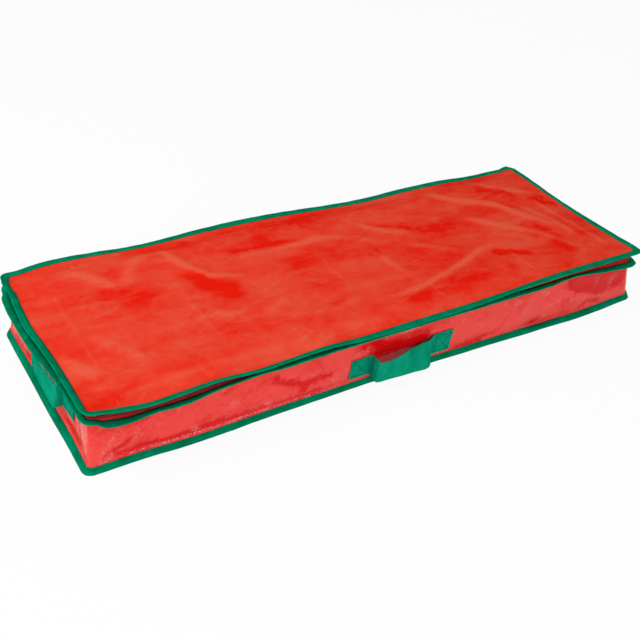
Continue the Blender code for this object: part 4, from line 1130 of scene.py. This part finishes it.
strip = [rim.at(FLANGE_REACH, LAYER), rim.at(SHEET_BEND, LAYER)]
for share in np.linspace(0, 1, HINGE_ROWS):
    low, high = rim_z + SEAM_REACH, lid_z - SEAM_REACH
    strip.append(beside(rim.plan + (lid.plan - rim.plan) * share,
                        -HINGE_FOLD * math.sin(math.pi * share), low + (high - low) * share))
strip += [lid.at(SHEET_BEND, -LAYER), lid.at(FLANGE_REACH, -LAYER)]
hinge_strip = thicken(loft("back_hinge_strip", strip, MATERIALS["lid_fabric"],
                           span(right_end, left_end)))
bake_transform(hinge_strip)
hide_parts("hinge_strip")

# Handles: centre along the wall, foot height, bulge, and how much wider the far end is sewn flat
HANDLES = {
    "front": (-10 * MM, 20 * MM, 23 * MM, 0.12),
    "left": (-5 * MM, 37 * MM, 13.5 * MM, 0),
    "right": (-5 * MM, 37 * MM, 13.5 * MM, 0),
}
PATCH_START = HANDLE_SPAN / 2 + 0.1 * MM
# Each loop's top and low edges: shares of its span along the wall, and of its bulge outward
FRONT_LOOP = (
    ((-0.497, 0), (-0.505, 0.3), (-0.502, 0.68), (-0.478, 0.98), (-0.3, 0.98), (-0.1, 0.75),
     (0.1, 0.45), (0.24, 0.38), (0.33, 0.36), (0.4, 0.25), (0.45, 0.1), (0.497, 0)),
    ((-0.497, 0), (-0.51, 0.35), (-0.512, 0.7), (-0.498, 1.0), (-0.3, 1.06), (-0.1, 1.16),
     (0.1, 1.22), (0.24, 1.25), (0.33, 1.1), (0.4, 0.7), (0.45, 0.3), (0.497, 0)),
)
END_LOOP = (
    ((-0.497, 0), (-0.503, 0.2), (-0.502, 0.4), (-0.485, 0.55), (-0.3, 0.58), (0, 0.58),
     (0.28, 0.45), (0.4, 0.25), (0.497, 0)),
    ((-0.497, 0), (-0.503, 0.4), (-0.502, 0.8), (-0.485, 1), (-0.3, 1), (0, 0.9), (0.28, 0.7),
     (0.4, 0.4), (0.497, 0)),
)
LOOPS = {"front": FRONT_LOOP, "left": END_LOOP, "right": END_LOOP}
LOOP_STEPS = 90
STRAP_ROWS = 12


class WallFace:
    """Finds points on a finished wall from a place along it and a height."""

    def __init__(self, side):
        self.side = side
        self.axis = 0 if side in ("front", "back") else 1
        rows = np.array(wall_grid[3:-3])[:, side_span(side)]
        order = np.argsort(rows[0, :, self.axis])
        self.rows = rows[:, order]
        straight = (ring.turns[side_span(side)] == 0)[order]
        self.rows = self.rows[:, straight]
        self.normal = {"front": (0, -1, 0), "left": (-1, 0, 0), "right": (1, 0, 0)}[side]

    def at(self, along, height, out):
        """A point outside the wall's face."""
        columns = self.rows[:, :, self.axis]
        point = []
        for k in range(3):
            values = [np.interp(along, columns[r], self.rows[r, :, k])
                      for r in range(len(self.rows))]
            point.append(values)
        heights = np.array(point[2])
        place = np.array([np.interp(height, heights, point[k]) for k in range(3)])
        place[self.axis], place[2] = along, height
        return place + np.array(self.normal) * (out + SHEET / 2)


def loop_line(shares, bulge):
    """A loop edge in plan as evenly spaced (along, out) pairs on a smooth curve."""
    points = np.array(shares) * (HANDLE_SPAN, bulge)
    fine = []
    for index in range(len(points) - 1):
        p0, p1 = points[max(index - 1, 0)], points[index]
        p2, p3 = points[index + 1], points[min(index + 2, len(points) - 1)]
        for t in np.linspace(0, 1, 12, endpoint=False):
            fine.append(0.5 * (2 * p1 + (p2 - p0) * t + (2 * p0 - 5 * p1 + 4 * p2 - p3) * t ** 2
                               + (3 * p1 - p0 - 3 * p2 + p3) * t ** 3))
    fine = np.array(fine + [points[-1]])
    runs = travel(fine)
    even = np.linspace(0, runs[-1], LOOP_STEPS)
    return np.stack([np.interp(even, runs, fine[:, k]) for k in range(2)], axis=1)


def strap(name, lines, material):
    """A thick strap from its long lines, given as an array (across, along, point)."""
    rows, count = lines.shape[:2]
    runs = travel(lines[0])
    uvs = [(u, WEBBING_WIDTH * r / (rows - 1)) for r in range(rows) for u in runs]
    thing = thicken(make_object(name, lines.reshape(-1, 3), skin(rows, count),
                                MATERIALS[material], uvs), WEBBING_THICKNESS)
    edges = thing.modifiers.new("soft_edges", "BEVEL")
    edges.width = WEBBING_THICKNESS / 3
    edges.segments = 2
    edges.limit_method = "ANGLE"
    edges.angle_limit = math.radians(50)
    return thing


def handle(side):
    """A webbing handle: its loop, its two sewn ends and their stitches."""
    centre, foot, bulge, spread = HANDLES[side]
    face = WallFace(side)
    top, low = (loop_line(shares, bulge) for shares in LOOPS[side])

    def height(share, along):
        """The height of a line of the strap at a place along it."""
        width = WEBBING_WIDTH * (1 + spread * smooth(along / HANDLE_SPAN * 2))
        return foot + WEBBING_WIDTH / 2 + width * (0.5 - share)

    lines = []
    for row in range(STRAP_ROWS + 1):
        share = row / STRAP_ROWS
        mixed = top + (low - top) * smooth(share)
        lines.append([face.at(centre + along, height(share, along),
                              out + WEBBING_GAP + WEBBING_THICKNESS / 2) for along, out in mixed])
    place(strap(side + "_handle_strap", np.array(lines), "webbing"), side + "_handle", "webbing",
          side + "_handle_loop")
    ends = ("left", "right") if side == "front" else ("front", "back")
    for end, sign in zip(ends, (-1, 1)):
        alongs = sign * (PATCH_START + PATCH_LENGTH * np.linspace(0, 1, 13))
        lines = [[face.at(centre + along, height(row / STRAP_ROWS, along),
                          WEBBING_GAP + WEBBING_THICKNESS / 2) for along in alongs]
                 for row in range(STRAP_ROWS + 1)]
        place(strap(f"{side}_handle_{end}_patch", np.array(lines), "webbing_end"), "bag",
              "webbing", f"{side}_handle_{end}_end")


for side in HANDLES:
    handle(side)

for node in ("zip_slider", "zip_pull_tab"):
    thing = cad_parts[node]
    thing.data.materials.clear()
    thing.data.materials.append(MATERIALS["slider_metal"])
    thing.data.shade_flat()

# Camera, as the photograph was taken
CAMERA_PLACE = (-784.9 * MM, -990.0 * MM, 881.2 * MM)
CAMERA_AZIMUTH, CAMERA_ELEVATION, CAMERA_ROLL = (math.radians(a) for a in (-36.66, 35.52, 7.533))
CAMERA_LENS, CAMERA_SENSOR = 50.37, 36.0

camera_data = bpy.data.cameras.new("camera")
camera_data.lens = CAMERA_LENS
camera_data.sensor_width = CAMERA_SENSOR
camera = add_object("camera", camera_data)
camera.location = CAMERA_PLACE
forward = Vector((-math.sin(CAMERA_AZIMUTH) * math.cos(CAMERA_ELEVATION),
                  math.cos(CAMERA_AZIMUTH) * math.cos(CAMERA_ELEVATION),
                  -math.sin(CAMERA_ELEVATION)))
camera.rotation_mode = "QUATERNION"
camera.rotation_quaternion = (forward.to_track_quat("-Z", "Y")
                              @ Quaternion((0, 0, 1), CAMERA_ROLL))
bpy.context.scene.camera = camera

# The floor: half its width, its lit colour, and how much of what shows is plain white instead
FLOOR_HALF = 6.0
FLOOR_COLOUR = (0.9, 0.9, 0.9, 1)
FLOOR_ROUGHNESS = 0.9
FLOOR_WHITENESS = 0.92
# Each lamp's place, width and power
LAMPS = {"key": ((-2.1, 0.2, 2.1), 1.2, 36), "fill": ((-0.9, -2.6, 1.6), 1.8, 30)}
# The world shows as white, and lights the bag more softly than it shows
WORLD_LIGHT, WORLD_SEEN = 0.5, 1.0
WHITE = (1, 1, 1, 1)


def seen_rays(tree):
    """1 where a ray comes from the camera, a reflection or a clear material, and 0 elsewhere."""
    path = add_node(tree, "LightPath").outputs
    total = path["Is Camera Ray"]
    for name in ("Is Glossy Ray", "Is Transmission Ray"):
        total = add_node(tree, "Math", {0: total, 1: path[name]}, operation="ADD",
                         use_clamp=True).outputs[0]
    return total


def floor():
    """A plain pale floor that shows as white, with the bag's soft shadow on it."""
    mesh = bpy.data.meshes.new("floor")
    corners = [(x * FLOOR_HALF, y * FLOOR_HALF, 0) for x, y in ((-1, -1), (1, -1), (1, 1), (-1, 1))]
    mesh.from_pydata(corners, [], [(0, 1, 2, 3)])
    material = bpy.data.materials.new("floor")
    material.use_nodes = True
    tree = material.node_tree
    lit = tree.nodes["Principled BSDF"]
    for socket, value in (("Base Color", FLOOR_COLOUR), ("Roughness", FLOOR_ROUGHNESS),
                          ("Specular IOR Level", 0.0)):
        lit.inputs[socket].default_value = value
    share = add_node(tree, "Math", {0: seen_rays(tree), 1: FLOOR_WHITENESS}, operation="MULTIPLY")
    white = add_node(tree, "Emission")
    mixer = add_node(tree, "MixShader", {0: share.outputs[0], 1: lit.outputs[0],
                                         2: white.outputs[0]})
    tree.links.new(mixer.outputs[0], tree.nodes["Material Output"].inputs["Surface"])
    mesh.materials.append(material)
    add_object("floor", mesh)


def area_light(name, place, size, energy):
    """A soft lamp that faces the bag."""
    data = bpy.data.lights.new(name, "AREA")
    data.shape = "SQUARE"
    data.size = size
    data.energy = energy
    lamp = add_object(name, data)
    lamp.location = place
    lamp.rotation_mode = "QUATERNION"
    lamp.rotation_quaternion = (-Vector(place)).to_track_quat("-Z", "Y")


floor()
for name, settings in LAMPS.items():
    area_light(name, *settings)

world = bpy.data.worlds.new("world")
bpy.context.scene.world = world
world.use_nodes = True
background = world.node_tree.nodes["Background"].inputs
level = add_node(world.node_tree, "MapRange", {"Value": seen_rays(world.node_tree),
                                               "To Min": WORLD_LIGHT, "To Max": WORLD_SEEN})
world.node_tree.links.new(level.outputs[0], background["Strength"])
background["Color"].default_value = WHITE
bpy.context.scene.view_settings.view_transform = "Standard"
